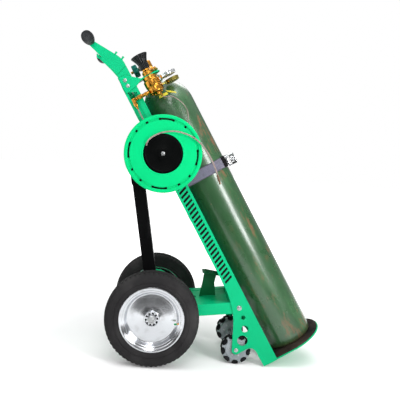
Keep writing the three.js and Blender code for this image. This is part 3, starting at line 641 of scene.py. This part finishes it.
def build_fasteners():
    for node, v in (("tie_rod_upper", 1414), ("tie_rod_lower", 1387)):
        cross_bolt(node + "_bolt", node, LEAN, (-128, v), 5, (-170.6, 165.3), (-170.4, 165.2), (6.3, 4.2),
                   (8.5, 4, 4.4))
    post = LEAN @ AXLE_TO_SHELF.inverted() @ Matrix.Rotation(atan2(*POST_TOP), 4, "Y")
    cross_bolt("post_pin", "post_pin_top", post, (0, 765), 6, (-38, 38), (-38, 38), (7.5, 5), (10, 5, 5))
    for name, node, place, radius, head, nut_size in (
        ("carriage_pivot_bolt", "carriage_bolt", CARRIAGE_BOLT_PLACE, 7.7, (8.2, 4), (11, 4, 6)),
        ("omni_axle_bolt", "omni_axle", (OMNI_PLACE[0], 0, OMNI_PLACE[2]), 6, (6.7, 4), (9, 4, 4.6)),
    ):
        cross_bolt(name, node, moved(LEVEL, place), (0, 0), radius, (-165.3, 165.3), (-165.2, 165.2), head, nut_size)
    axle = Piece().rod(12.5, -247.4, 247.4, "Y")
    for side in (-1, 1):
        nut(axle, (0, side * 247.3, 0), (0, side, 0), 19, 12, 9)
        axle.aim((0, 0, 0), (0, 0, 1))
        axle.lathe(rounded([(12.5, side * 206), (16, side * 206), (16, side * 181.2), (12.5, side * 181.2)], 0.6),
                   48, "Y", closed=True)
    axle.done("wheel_axle", moved(LEVEL, (0, 0, WHEEL_RADIUS)), "cart", ZINC, "zinc_steel", ["axle"])
    bar = Piece().rod(8, -252, 252, "Y")
    bar.done("handle_cross_bar", moved(LEAN, HANDLE_BAR_PLACE), "cart", ZINC, "zinc_steel", ["handle_bar"])


build_fasteners()


# ---- Wheels ------------------------------------------------------------------------------------

SIDES = (("right", -1), ("left", 1))


def tread_cuts(radius, along, angle):
    """Shoulder grooves right round, and narrower slots across the middle ribs."""
    shoulder = 25.6 < abs(along) < 42 and radius > 199
    middle = abs(along) < 20.6 and radius > 205
    turn = angle * 60 / (2 * pi) % 1
    if shoulder and turn < 0.25:
        return radius - 3.2, along
    if middle and 0.45 < turn < 0.62:
        return radius - 2.6, along
    return radius, along


def build_wheel(name, side):
    body = f"wheel_{name}"
    base = moved(LEVEL, (0, side * 225, WHEEL_RADIUS))
    wall = [(142.9, 35.6), (145.5, 40), (150, 43.8), (156, 46.3), (159.6, 47.6), (161, 46.4), (164.6, 46.7),
            (166, 48.9), (172, 49.8), (180, 49.9), (186, 49), (192, 46.8), (197, 43.6), (200.4, 40.4), (202.9, 36.4),
            (204.4, 31), (205.2, 26.2), (201.2, 25.2), (201.2, 21.8), (206, 20.6), (206.6, 16), (206.8, 12),
            (202.4, 11), (202.4, 7.4), (206.9, 6.4), (207, 3)]
    profile = wall + [(r, -along) for r, along in reversed(wall)]
    tyre = Piece().lathe(profile, 300, "Y", closed=True, vary=tread_cuts)
    tyre.done(f"tyre_carcass_{name}", base, body, TYRE, "tyre_rubber", [f"tyre_{name}"], sharp=40)

    def slots(radius, along, angle):
        if 21.5 < radius < 28.5 and along * side > 15 and angle * 10 / (2 * pi) % 1 < 0.5:
            return radius, along - side * 6
        return radius, along
    shape = rounded([
        (13, 21.8), (20.6, 21.8), (21, 19.4), (21.8, 19.2), (25, 19.2), (28.2, 19.2), (28.8, 21.8), (33.4, 21.8),
        (34.2, 20.4), (34.6, 11), (60, 8.6), (84, 5.6), (106, 2.6), (110, 4.4), (117.4, 24), (120, 26.6), (126, 28.4),
        (128, 31), (136, 34.8), (142.4, 34.8), (142.4, -34.8), (136, -31), (113, -4), (34, 3), (26, -43.8),
        (13, -43.8),
    ], 1.6, 2, closed=True)
    rim = Piece().lathe([(r, side * along) for r, along in shape], 192, "Y", closed=True, vary=slots)
    rim.done(f"spun_rim_{name}", base, body, ALUMINIUM, "polished_aluminium", [f"wheel_rim_{name}"], sharp=30)

    # A thin black shell laid over the rim's inner dish: painted shade that darkens the wheel's inner side, where shade
    # falls.
    liner = [(35, 2.3), (112.6, -4.8), (134.4, -30.4), (134, -31.4), (112, -5.8), (35, 1.3)]
    liner = Piece().lathe([(r, side * along) for r, along in liner], 96, "Y", closed=True)
    liner.done(f"rim_back_painted_shade_{name}", base, body, POST_BLACK, "black_paint")

    seal = [(21.8, side * 13.6), (28, side * 13.6), (28, side * 15), (21.8, side * 15)]
    cage = Piece().lathe(seal, 64, "Y", closed=True)
    cage.done(f"hub_seal_{name}", base, body, SPOOL_BLACK, "black_plastic")

    stem = Piece().aim((119, side * 22, -12), (-0.86, side * 0.5, 0.02))
    stem.rod(3.2, -2, 14).hexagon(5, 0, 3, facets=40)
    stem.done(f"tyre_valve_{name}", base, body, BRASS, "brass")
    cap = Piece().aim((119, side * 22, -12), (-0.86, side * 0.5, 0.02))
    cap.lathe(rounded([(0, 12), (4.4, 12), (4.4, 21), (3, 23), (0, 23)], 0.7), 48, vary=fluted(12, 0.5, 4))
    cap.done(f"tyre_valve_cap_{name}", base, body, CAP_GREEN, "teal_plastic")


def build_omni(name, side):
    body = f"omni_{name}"
    x, y, z = OMNI_PLACE
    base = moved(LEVEL, (x, side * y, z))
    count, reach = 9, 58.3
    step = 2 * pi / count
    barrel = [(0, -14.6), (5.4, -14.6)] + [
        (9.6 - (68 - sqrt(68 * 68 - t * t)) * 1.15, t) for t in (-14.2, -11, -7.5, -3.8, 0, 3.8, 7.5, 11, 14.2)
    ] + [(5.4, 14.6), (0, 14.6)]
    grooved = []
    for radius, along in barrel:
        grooved += [(radius, along)] if abs(along) > 12 or along == 0 else [
            (radius, along - 0.9), (radius - 0.9, along - 0.5), (radius - 0.9, along + 0.5), (radius, along + 0.9)]
    rollers, pins, frame_ring = Piece(), Piece(), Piece()
    for row, (y_middle, turn) in enumerate(((-10.2 * -side, 0.0), (10.2 * -side, step / 2))):
        start = -pi / 2 + turn
        for i in range(count):
            angle = start + i * step
            at = (reach * cos(angle), y_middle, reach * sin(angle))
            along = (-sin(angle), 0, cos(angle))
            rollers.aim(at, along).lathe(grooved, 28)
            pins.aim(at, along).rod(2, -18.4, 18.4, facets=14, edge=0.3)
        star = []
        for i in range(count):
            angle = start + (i + 0.5) * step
            for offset, out in ((-0.215, 48.6), (-0.072, 57), (-0.058, 63.4),
                                (0.058, 63.4), (0.072, 57), (0.215, 48.6)):
                star.append(polar(out, angle + offset))
            star.append(polar(47.4, angle + 0.5 * step))
        face = sorted((y_middle + 6.4, y_middle - 6.4))
        frame_ring.plate(star, *face, upright=True, edge=0.6)
    frame_ring.lathe(rounded([(6.8, -20.4), (16, -20.4), (16, -18.6), (40, -18.6), (41, -19.6), (46, -19.6),
                              (47.2, -18.4), (47.2, 18.4), (46, 19.6), (41, 19.6), (40, 18.6), (16, 18.6),
                              (16, 20.4), (6.8, 20.4)], 0.6, closed=True), 96, "Y", closed=True)
    for i in range(6):
        angle = i * pi / 3
        for face in (-1, 1):
            button_head(pins, (28 * cos(angle), face * 18.5, 28 * sin(angle)), (0, face, 0), 3, 2)
    rollers.done(f"omni_barrels_{name}", base, body, ROLLER, "rubber", [f"omni_rollers_{name}"])
    frame_ring.done(f"omni_frame_{name}", base, body, GREY_PLASTIC, "grey_plastic", [f"omni_hub_{name}"])
    pins.done(f"omni_pins_{name}", base, body, ZINC, "zinc_steel")


for side_name, side_sign in SIDES:
    build_wheel(side_name, side_sign)
    build_omni(side_name, side_sign)


# ---- Handle grips ------------------------------------------------------------------------------

def build_grips():
    for name, side in SIDES:
        shape = rounded([
            (0, 262), (8, 261.6), (16, 258.8), (22, 253), (25.2, 243), (26.4, 228), (26.4, 214), (25.4, 196),
            (23.4, 182), (20.6, 170), (19.4, 165), (17, 161.4), (8.4, 161.2),
        ], 4)
        grip = Piece().lathe([(r, side * y) for r, y in shape], 72, "Y")
        for y in (168.5, 174, 249):
            radius = 20.6 if y < 170 else 21.8 if y < 200 else 23.6
            grip.lathe(rounded([(radius - 3, side * (y - 1.2)), (radius + 0.6, side * (y - 1.2)),
                                (radius + 0.6, side * (y + 1.2)), (radius - 3, side * (y + 1.2))], 0.5), 72, "Y")
        grip.done(f"grip_sleeve_{name}", moved(LEAN, HANDLE_BAR_PLACE), "cart", GRIP, "rubber", [f"grip_{name}"])


build_grips()


# ---- Gas cylinder and valve --------------------------------------------------------------------

def dome_point(angle, height):
    """A place on the dome: angle round the cylinder, height up its quarter ellipse, both in radians."""
    radius = 117.5 * cos(height)
    return Vector((*polar(radius, angle), 1230 + 138 * sin(height)))


def build_cylinder():
    outer = [(0, 8), (84, 2.5), (92, 0.4), (104, 0.3), (110.5, 1.6), (115.4, 5.4), (117.5, 12)]
    outer += [(117.5, 40 + i * 35) for i in range(34)]
    for i in range(30):
        height = 1.32 * i / 29
        outer.append((117.5 * cos(height), 1230 + 138 * sin(height)))
    outer += rounded([(29, 1366), (30.5, 1370), (30.5, 1389), (28.6, 1391), (28, 1394.8), (13, 1394.8), (13, 1362)],
                     1.2)

    def dented(radius, height, angle):
        wave = sin(3 * angle + height / 140) * sin(height / 95 + 1.3) + sin(5 * angle - height / 60)
        return (radius - 0.22 * (1 + wave) / 2 if 60 < height < 1200 else radius), height
    Piece().lathe(outer, 144, vary=dented).done(
        "cylinder_shell", LEAN, "cart", ENAMEL, "dark_green_paint", ["gas_cylinder"])

    for name, centre, lift, half, tall, twist in (
        ("label_wide", -1.62, 0.43, 0.2, 0.05, 0.0), ("label_narrow", -1.25, 0.42, 0.17, 0.042, -0.1),
    ):
        label = Piece()
        grid = []
        for i in range(13):
            t = i / 6 - 1
            row = []
            for s in (-1, -0.33, 0.33, 1):
                place = dome_point(centre + half * t, lift + tall * s + twist * t)
                inward = Vector((place.x, place.y, (place.z - 1230) * 0.72)).normalized()
                row.append(label.vertex(place + inward * 0.7))
            grid.append(row)
        for one, other in zip(grid, grid[1:]):
            for j in range(3):
                label.bm.faces.new((one[j], other[j], other[j + 1], one[j + 1]))
        label.done(name, LEAN, "cart", LABEL, "case_green")

    valve = Piece().lathe(rounded([
        (11, 1378), (11, 1395.2), (20, 1395.4), (20, 1399), (17.6, 1401), (17.6, 1404), (20, 1406), (20, 1408.6),
        (17, 1411), (17, 1440), (15.6, 1443), (17, 1446), (17, 1476), (12, 1480), (0, 1480),
    ], 0.8), 64)
    valve.lathe(rounded([(0, -5), (13, -5), (13, -40), (11.4, -41), (11.4, -47.8), (6, -47.8), (0, -44)], 0.6), 56,
                "Y", at=VALVE_OUTLET)
    for ring in range(6):
        y = -20 - ring * 3
        valve.lathe(rounded([(12, y), (13.6, y - 0.8), (12, y - 1.6)], 0.3), 56, "Y", at=VALVE_OUTLET)
    valve.rod(8, 5, 24, "X", VALVE_OUTLET).hexagon(9, 20, 27, "X", VALVE_OUTLET)
    valve.rod(12, -47, -5, "X", HANDWHEEL_PLACE).hexagon(14, -34, -24, "X", HANDWHEEL_PLACE)
    valve.done("shut_off_valve", LEAN, "cart", BRASS, "brass", ["cylinder_valve"])

    wheel = Piece().lathe(rounded([(0, -52), (24, -52), (31, -55), (31, -75), (26, -78), (14, -78), (12, -72),
                                   (0, -72)], 2.2), 108, "X", vary=fluted(9, 4.2, 22))
    wheel.rod(9, -60, -47.4, "X").rod(6.2, -84, -60, "X")
    wheel.done("handwheel_rim", moved(LEAN, HANDWHEEL_PLACE), "handwheel", TEAL, "teal_plastic", ["valve_handwheel"])
    hub_nut = Piece().hexagon(7, -90, -78, "X")
    hub_nut.done("handwheel_nut", moved(LEAN, HANDWHEEL_PLACE), "handwheel", BRASS, "brass")


build_cylinder()


# ---- Regulator ---------------------------------------------------------------------------------

def build_gauge(name, u, y, bottom, radius, height, look, slot, marks):
    base = moved(LEAN, (u, y, bottom))
    case = Piece().lathe(rounded([
        (0, 0), (radius - 6, 0), (radius - 1.2, 1), (radius - 0.6, 3), (radius - 1.4, height - 7),
        (radius, height - 6), (radius, height - 0.6), (radius - 1.6, height), (radius - 3.4, height - 0.4),
        (radius - 3.6, 4.2), (3, 4), (3, 7.6), (0, 7.6),
    ], 0.7), 96)
    across, ahead = REGULATOR_FOOT[1] - y, REGULATOR_FOOT[0] - u
    reach = hypot(across, ahead) - 37.6
    toward = Vector((ahead, across, 0)).normalized()
    case.aim(Vector((0, 0, height / 2)), toward)
    case.rod(5, radius - 2, reach).hexagon(8, radius - 0.5, radius + 6)
    case.done(f"gauge_shell_{name}", base, "cart", look, slot, [f"gauge_case_{name}"])
    dial = Piece().lathe([(3.2, 4.4), (radius - 3.8, 4.4), (radius - 3.8, 4.1), (3.2, 4.1)], 96, closed=True)
    dial.done(f"gauge_dial_{name}", base, "cart", DIAL, "case_green")
    scale = Piece()
    for i in range(marks):
        angle = radians(90 - 270 * i / (marks - 1))
        long = i % 5 == 0
        inner, outer, half = radius - (13 if long else 9.5), radius - 6, 0.55 if long else 0.3
        out, side = Vector((cos(angle), sin(angle))), Vector((-sin(angle), cos(angle)))
        corners = [out * inner - side * half, out * outer - side * half, out * outer + side * half,
                   out * inner + side * half]
        scale.plate([tuple(c) for c in corners], 4.38, 4.8, edge=0.05)
    scale.done(f"gauge_scale_{name}", base, "cart", KNOB_BLACK, "black_plastic")
    lens = Piece().lathe([(0, height - 2), (radius - 3.7, height - 2.6), (radius - 3.7, height - 1.4),
                          (radius * 0.5, height - 0.9), (0, height - 0.7)], 96)
    lens.done(f"gauge_lens_{name}", base, "cart", LENS, "chrome")


def build_regulator():
    base = moved(LEAN, REGULATOR_FOOT)
    body = Piece().lathe(rounded([
        (0, 1292), (14, 1292), (18, 1295), (18, 1301), (24, 1303), (36, 1308), (36.6, 1312), (36.6, 1330),
        (34.6, 1332), (34.6, 1336), (36.8, 1338), (36.8, 1364), (35, 1367), (32, 1370), (32, 1385), (0, 1385),
    ], 1.4), 96)
    for i in range(6):
        angle = radians(30 + 60 * i)
        button_head(body, (*polar(26, angle), 1304), (0, 0, -1), 3.4, 3)
    for angle in (radians(-16), radians(24.7)):
        out = Vector((cos(angle), sin(angle), 0))
        body.aim(Vector((0, 0, 1354 if angle < 0 else 1331)) + out * 30, out).hexagon(9, 0, 9.5)
    body.done("regulator_housing", base, "cart", BRASS, "brass", ["regulator_body"])

    bonnet = Piece().lathe(rounded([(0, 1385.4), (17.6, 1385.4), (17.6, 1390.6), (24, 1390.8), (24, 1398), (22.6, 1399),
                                    (22.6, 1400.6), (24, 1401.6), (24, 1408), (17, 1413), (17, 1419.6), (0, 1419.6)],
                                   0.7), 96, vary=fluted(32, 0.5, 23.4))
    bonnet.done("regulator_bonnet_turned", base, "cart", BRASS, "brass", ["regulator_bonnet"])

    def ribbed(radius, height, angle):
        deep = 1.5 + 1.6 * max(0.0, (height - 1446) / 40)
        wave = 0.5 + 0.5 * cos(12 * angle)
        return (radius - deep * wave ** 3 if radius > 21.5 and 1422 < height < 1484 else radius), height
    knob = Piece().lathe(rounded([
        (0, 1420), (20, 1420), (22.6, 1422.5), (23, 1428), (23, 1436), (23.2, 1446), (25, 1455), (28.6, 1464),
        (33.2, 1473), (37.6, 1481), (39, 1484), (38.6, 1486.6), (36, 1487), (32, 1486.6), (28, 1480), (24, 1472),
        (12, 1469), (0, 1468),
    ], 1.6), 144, vary=ribbed)
    knob.done("adjusting_knob", base, "knob", KNOB_BLACK, "black_plastic", ["regulator_knob"])

    relief = Piece()
    relief.rod(6, 24.6, 38, "X", RELIEF_PLACE).hexagon(8.5, 36.6, 46, "X", RELIEF_PLACE)
    relief.rod(5, 45, 50, "X", RELIEF_PLACE)
    relief.done("relief_cap", base, "cart", OLD_BRASS, "brass", ["relief_valve"])

    outlet = Piece()
    outlet.rod(8, -134, -58, "X", REGULATOR_OUTLET).hexagon(10.5, -112, -92, "X", REGULATOR_OUTLET)
    outlet.hexagon(9.6, -78, -66, "X", REGULATOR_OUTLET)
    outlet.rod(8, 1288, 1325.6, "Z", OUTLET_ELBOW).hexagon(9.4, 1292, 1304, "Z", OUTLET_ELBOW)
    outlet.lathe(rounded([(8, -124), (9.4, -123), (9.4, -118), (8, -117)], 0.6), 48, "X", at=REGULATOR_OUTLET)
    outlet.done("outlet_elbow", LEAN, "cart", BRASS, "brass", ["outlet_fitting"])

    build_gauge("high", 52, -172, 1346, 37, 16, CHROME, "chrome", 31)
    build_gauge("low", 62, -110, 1322, 33.5, 18, OLD_BRASS, "brass", 26)


build_regulator()


# ---- Hose reel ---------------------------------------------------------------------------------

def rim_notches(radius, y, angle):
    """Sixteen clip slots in the front's outer groove, joined in pairs by a deeper channel."""
    turn = angle * 16 / (2 * pi) + 0.2
    within, pair = turn % 1, int(turn) % 4
    if 144 < radius < 153.2 and y < -240:
        if within < 0.4:
            return radius, max(y, -254) + 8
        if pair == 2 and radius > 147:
            return radius, y + 5
    return radius, y


def build_reel():
    base = moved(LEAN, REEL_CENTRE)
    front = rounded([
        (86, -255), (86, -259.4), (88, -260), (91, -260), (92.4, -258.4), (142, -258.2), (144.2, -257.2),
        (144.8, -252.4), (152.4, -252.4), (153.4, -259), (155.6, -260), (163.4, -260), (168.3, -256.6), (168.5, -250),
        (168.5, -214.4), (164, -214.4), (164, -252), (160, -255),
    ], 0.8, 2, closed=True)
    Piece().lathe(front, 384, "Y", closed=True, vary=rim_notches).done(
        "reel_face", base, "cart", CASE, "case_green", ["reel_front_shell"], sharp=30)
    back = rounded([
        (8.5, -165.4), (160, -165.4), (167, -168), (168.5, -173), (168.5, -209), (167.4, -210), (167.4, -213.8),
        (163.6, -213.8), (163.6, -169.3), (8.5, -169.3),
    ], 1.0, 2, closed=True)
    Piece().lathe(back, 192, "Y", closed=True).done(
        "reel_backing", base, "cart", CASE, "case_green", ["reel_back_shell"], sharp=30)
    lugs = Piece()
    for i in range(8):
        angle = 2 * pi * (i + 0.5) / 8
        out = Vector((cos(angle), 0, sin(angle)))
        lugs.aim(out * 164.2, (0, -1, 0)).rod(3.6, 204, 252, facets=24)
    lugs.done("reel_case_lugs", base, "cart", CASE, "case_green")
    clips_and_shade_arcs = Piece()
    # Black arcs in the four deeper channels: painted shade along those channels. The blocks below are the sixteen black
    # clips.
    for i in range(2, 16, 4):
        turns = [2 * pi * i / 16 + radians(22.5) * t / 10 for t in range(11)]
        arc = [polar(reach, turn) for reach, order in ((145.6, 1), (151.8, -1))
               for turn in turns[::order]]
        clips_and_shade_arcs.plate(arc, -256.4, -253.6, upright=True, edge=0.3)
    for i in range(16):
        angle = 2 * pi * i / 16
        centre = Vector((148.6 * cos(angle), -252.6, 148.6 * sin(angle)))
        clips_and_shade_arcs.aim(centre, (cos(angle), 0, sin(angle))).brick((-5.2, -4.4, -4.6), (5.2, 4.4, 4.6), 0.6)
    # A dark green ring on the groove's floor: painted shade in the recess.
    groove = Piece().lathe([(145.2, -253.6), (152, -253.6), (152, -252.9), (145.2, -252.9)], 192, "Y", closed=True)
    groove.done("reel_groove_painted_shade", base, "cart", CASE_PAINTED_SHADE, "case_green")
    clips_and_shade_arcs.done("reel_clips_and_painted_shade", base, "cart", SPOOL_BLACK, "black_plastic")

    disc = rounded([
        (8.5, -175.4), (150, -175.4), (150, -179.2), (66, -179.2), (66, -247), (150, -247), (150, -250.8),
        (82.6, -250.8), (82.6, -256.4), (80.4, -257.8), (75, -257.9), (73.6, -256.6), (40, -255.6), (24, -255.6),
        (22.6, -257.8), (8.5, -257.9),
    ], 0.8, 2, closed=True)
    Piece().lathe(disc, 144, "Y", closed=True).done(
        "reel_drum", base, "spool", SPOOL_BLACK, "black_plastic", ["reel_spool"], sharp=30)
    turns = []
    for i in range(10):
        centre = -183 - i * 6.6
        turns += [(81 + 3 * cos(t), centre - 3.2 * sin(t)) for t in (-1.3, -0.65, 0, 0.65, 1.3)]
    Piece().lathe([(67, -179.9)] + turns + [(67, -246.3)], 96, "Y", closed=True).done(
        "reel_windings", base, "spool", HOSE, "hose_skin", ["wound_hose"])
    bolt = Piece().rod(7.4, -259, -158, "Y")
    button_head(bolt, (0, -258.3, 0), (0, -1, 0), 7, 4.6, 1.28)
    nut(bolt, (0, -159.6, 0), (0, 1, 0), 12, 6.6, 6.4)
    bolt.done("reel_centre_bolt", base, "cart", ZINC, "zinc_steel", ["reel_bolt"])


build_reel()


# ---- Strap and buckle --------------------------------------------------------------------------

def strap_line(radius, side=158.2, bend=-97, tail=-136, steps=40):
    """The strap's middle line in plan, from one side plate round the cylinder's front to the other."""
    tangent = atan2(side, bend) - acos(radius / hypot(bend, side))
    half = [Vector(polar(radius, tangent * i / steps)) for i in range(steps + 1)]
    corner, touch = Vector((bend, side)), half[-1]
    half += [touch.lerp(corner, i / 8) for i in range(1, 8)]
    half += [corner.lerp(Vector((tail, side)), 0.06 + 0.94 * i / 6) for i in range(7)]
    return [Vector((p.x, -p.y)) for p in reversed(half[1:])] + half


def band(name, line, thickness, low, high, look, slot, replaced=(), bulge=0.0):
    """A flat band on edge along a plan line, with its length and width in its UV map, in metres."""
    bm = bmesh.new()
    uv = bm.loops.layers.uv.new("UVMap")
    heights = [0, 0.035, 0.1, 0.3, 0.5, 0.7, 0.9, 0.965, 1]
    section = [(-1, h) for h in heights] + [(1, h) for h in reversed(heights)]
    rings, lengths, travelled = [], [], 0.0
    for i, point in enumerate(line):
        before, after = line[max(i - 1, 0)], line[min(i + 1, len(line) - 1)]
        along = (after - before).normalized()
        out = Vector((along.y, -along.x))
        travelled += (point - before).length
        lengths.append(travelled)
        ring = []
        for face, h in section:
            thin = 0.45 if h in (0, 1) else 1
            offset = face * thickness / 2 * thin + (bulge * sin(pi * h) if face > 0 else 0)
            place = point + out * offset
            ring.append(bm.verts.new(Vector((place.x, place.y, low + (high - low) * h)) * MM))
        rings.append(ring)
    count = len(section)
    for i in range(len(rings) - 1):
        for j in range(count):
            k = (j + 1) % count
            face = bm.faces.new((rings[i][j], rings[i][k], rings[i + 1][k], rings[i + 1][j]))
            for loop, (step, index) in zip(face.loops, ((i, j), (i, k), (i + 1, k), (i + 1, j))):
                loop[uv].uv = (lengths[step] * MM, section[index][1] * 51 * MM)
    for ring in (rings[0], rings[-1]):
        bm.faces.new(ring)
    piece = Piece()
    piece.bm.free()
    piece.bm = bm
    return piece.done(name, LEAN, "cart", look, slot, replaced, sharp=50)


def build_strap():
    line = strap_line(119.8)
    band("tie_down_strap", line, 2.6, *STRAP_HEIGHTS, WEBBING, "webbing", ["strap_band"])
    for name, start, end in (("right", -0.62, -0.29), ("left", 0.29, 0.62)):
        arc = [Vector(polar(122.9, start + (end - start) * i / 14)) for i in range(15)]
        band(f"strap_pad_{name}", arc, 2.4, 862.5, 917.5, STRAP_PAD, "rubber", bulge=0.5)

    base = Piece()
    base.plate([(121.9, -34), (124.9, -34), (124.9, 34), (121.9, 34)], 860, 910, edge=0.7)
    cheek = [(122.5, -18), (130, -18), (137, -9), (139, 0), (137, 9), (130, 18), (122.5, 18)]
    for low in (860, 907):
        base.plate(cheek, low, low + 3, edge=0.7, holes=[(127, 10, 2.2)])
    base.rod(5, 861, 909, "Z", (132, 0, 0))
    for y in (-29, 29):
        for v in (872, 898):
            button_head(base, (124.8, y, v), (1, 0, 0), 3.2, 2)
    base.done("buckle_plate", LEAN, "cart", CHROME, "chrome", ["buckle_base"])

    lever = Piece()
    arm = [(125, -4), (128, -7.6), (134, -8), (164, -8), (166, -6), (166, 2), (161, 6), (146, 7.4), (134, 8),
           (127, 6), (125, 2)]
    for low in (856.7, 910.3):
        lever.plate(arm, low, low + 3, edge=0.7, holes=[(158, -1, 2.4)])
    lever.plate([(142, -8), (166, -8), (166, -5), (142, -5)], 857, 913, edge=0.7)
    for u in (147, 153, 159):
        lever.rod(1.3, 862, 908, "Z", (u, -8.0, 0), 20)
    lever.rod(1.7, 857.4, 912.6, "Z", (166, -6.5, 0), 24)
    lever.done("buckle_handle", LEAN, "lever", CHROME, "chrome", ["buckle_lever"])


build_strap()


# ---- Stage -------------------------------------------------------------------------------------

def area_light(name, at, target, size, size_y, power):
    data = bpy.data.lights.new(name, "AREA")
    data.shape, data.size, data.size_y, data.energy = "RECTANGLE", size, size_y, power
    light = bpy.data.objects.new(name, data)
    bpy.context.scene.collection.objects.link(light)
    light.location = at
    light.visible_camera = False
    light.rotation_mode = "QUATERNION"
    light.rotation_quaternion = (Vector(target) - Vector(at)).to_track_quat("-Z", "Y")


# Each light's name, place, target, width, height and power: metres and watts.
STUDIO_LIGHTS = (
    ("strip", (1.65, -2.0, 1.45), (0.1, 0, 0.7), 0.55, 1.3, 44),
    ("key", (-0.25, -3.0, 2.6), (-0.1, 0, 0.6), 0.7, 1.6, 22),
    ("overhead", (0.2, -1.2, 3.8), (0, 0, 0.4), 2.2, 1.6, 44),
    ("left", (-2.8, -1.2, 2.4), (-0.1, 0, 0.6), 1.6, 1.8, 12),
    ("back", (-0.2, 2.4, 3.4), (0, 0, 0.4), 2.6, 1.8, 40),
)
# The dark cloth: from the floor in front of the cart, up to a low rail, as (y, z) places.
CURTAIN_LINE = ((-1.35, 0.004), (-2.9, 0.004), (-2.9, 0.85))
CURTAIN_HALF_WIDTH = 3
FLOOR_RADIUS = 40


def stage_piece(name, build, look):
    bm = bmesh.new()
    build(bm)
    mesh = bpy.data.meshes.new(name)
    bm.to_mesh(mesh)
    bm.free()
    mesh.materials.append(look)
    made = bpy.data.objects.new(name, mesh)
    bpy.context.scene.collection.objects.link(made)
    return made


def make_stage():
    # The floor glows, weakly within 0.7 m of the cart and almost white beyond 3.2 m: painted light that keeps the far
    # floor white while the contact shadows stay.
    look = Look("glowing_studio_floor", srgb(232, 232, 232), 0.9, Specular_IOR_Level=0.0, Emission_Color=(1, 1, 1, 1))
    reach = look.node("ShaderNodeVectorMath", {"operation": "LENGTH"})
    look.feed(reach.inputs[0], look.coords)
    look.feed(look.shader.inputs["Emission Strength"], look.span(reach.outputs["Value"], 0.7, 3.2, 0.14, 0.98))
    stage_piece("floor", lambda bm: bmesh.ops.create_circle(bm, cap_ends=True, segments=96, radius=FLOOR_RADIUS),
                look.mottle(0.8, srgb(229, 229, 230)).done())
    cloth = Look("black_cloth", srgb(8, 8, 8), 0.95, Specular_IOR_Level=0.0).mottle(3, srgb(12, 12, 12)).done()

    def curtain(bm):
        edge = [[bm.verts.new((x, y, z)) for x in (-CURTAIN_HALF_WIDTH, CURTAIN_HALF_WIDTH)] for y, z in CURTAIN_LINE]
        for near, far in zip(edge, edge[1:]):
            bm.faces.new((near[0], near[1], far[1], far[0]))
    hung = stage_piece("curtain", curtain, cloth)
    hung.visible_camera = hung.visible_shadow = hung.visible_diffuse = False

    world = bpy.data.worlds.new("studio")
    bpy.context.scene.world = world
    world.use_nodes = True
    tree = world.node_tree
    split = tree.nodes.new("ShaderNodeSeparateXYZ")
    tree.links.new(tree.nodes.new("ShaderNodeTexCoord").outputs["Generated"], split.inputs[0])
    ramp = tree.nodes.new("ShaderNodeValToRGB")
    tree.links.new(split.outputs["Z"], ramp.inputs["Fac"])
    first, last = ramp.color_ramp.elements
    first.position, first.color = 0.02, (0.5, 0.5, 0.5, 1)
    last.position, last.color = 0.95, (1.1, 1.1, 1.1, 1)
    ramp.color_ramp.elements.new(0.35).color = (0.12, 0.12, 0.12, 1)
    seen = tree.nodes.new("ShaderNodeMix")
    seen.data_type = "RGBA"
    tree.links.new(tree.nodes.new("ShaderNodeLightPath").outputs["Is Camera Ray"], seen.inputs[0])
    tree.links.new(ramp.outputs["Color"], seen.inputs[6])
    seen.inputs[7].default_value = (1, 1, 1, 1)
    tree.links.new(seen.outputs[2], tree.nodes["Background"].inputs["Color"])
    for light in STUDIO_LIGHTS:
        area_light(*light)
    bpy.context.scene.view_settings.view_transform = "Standard"


make_stage()
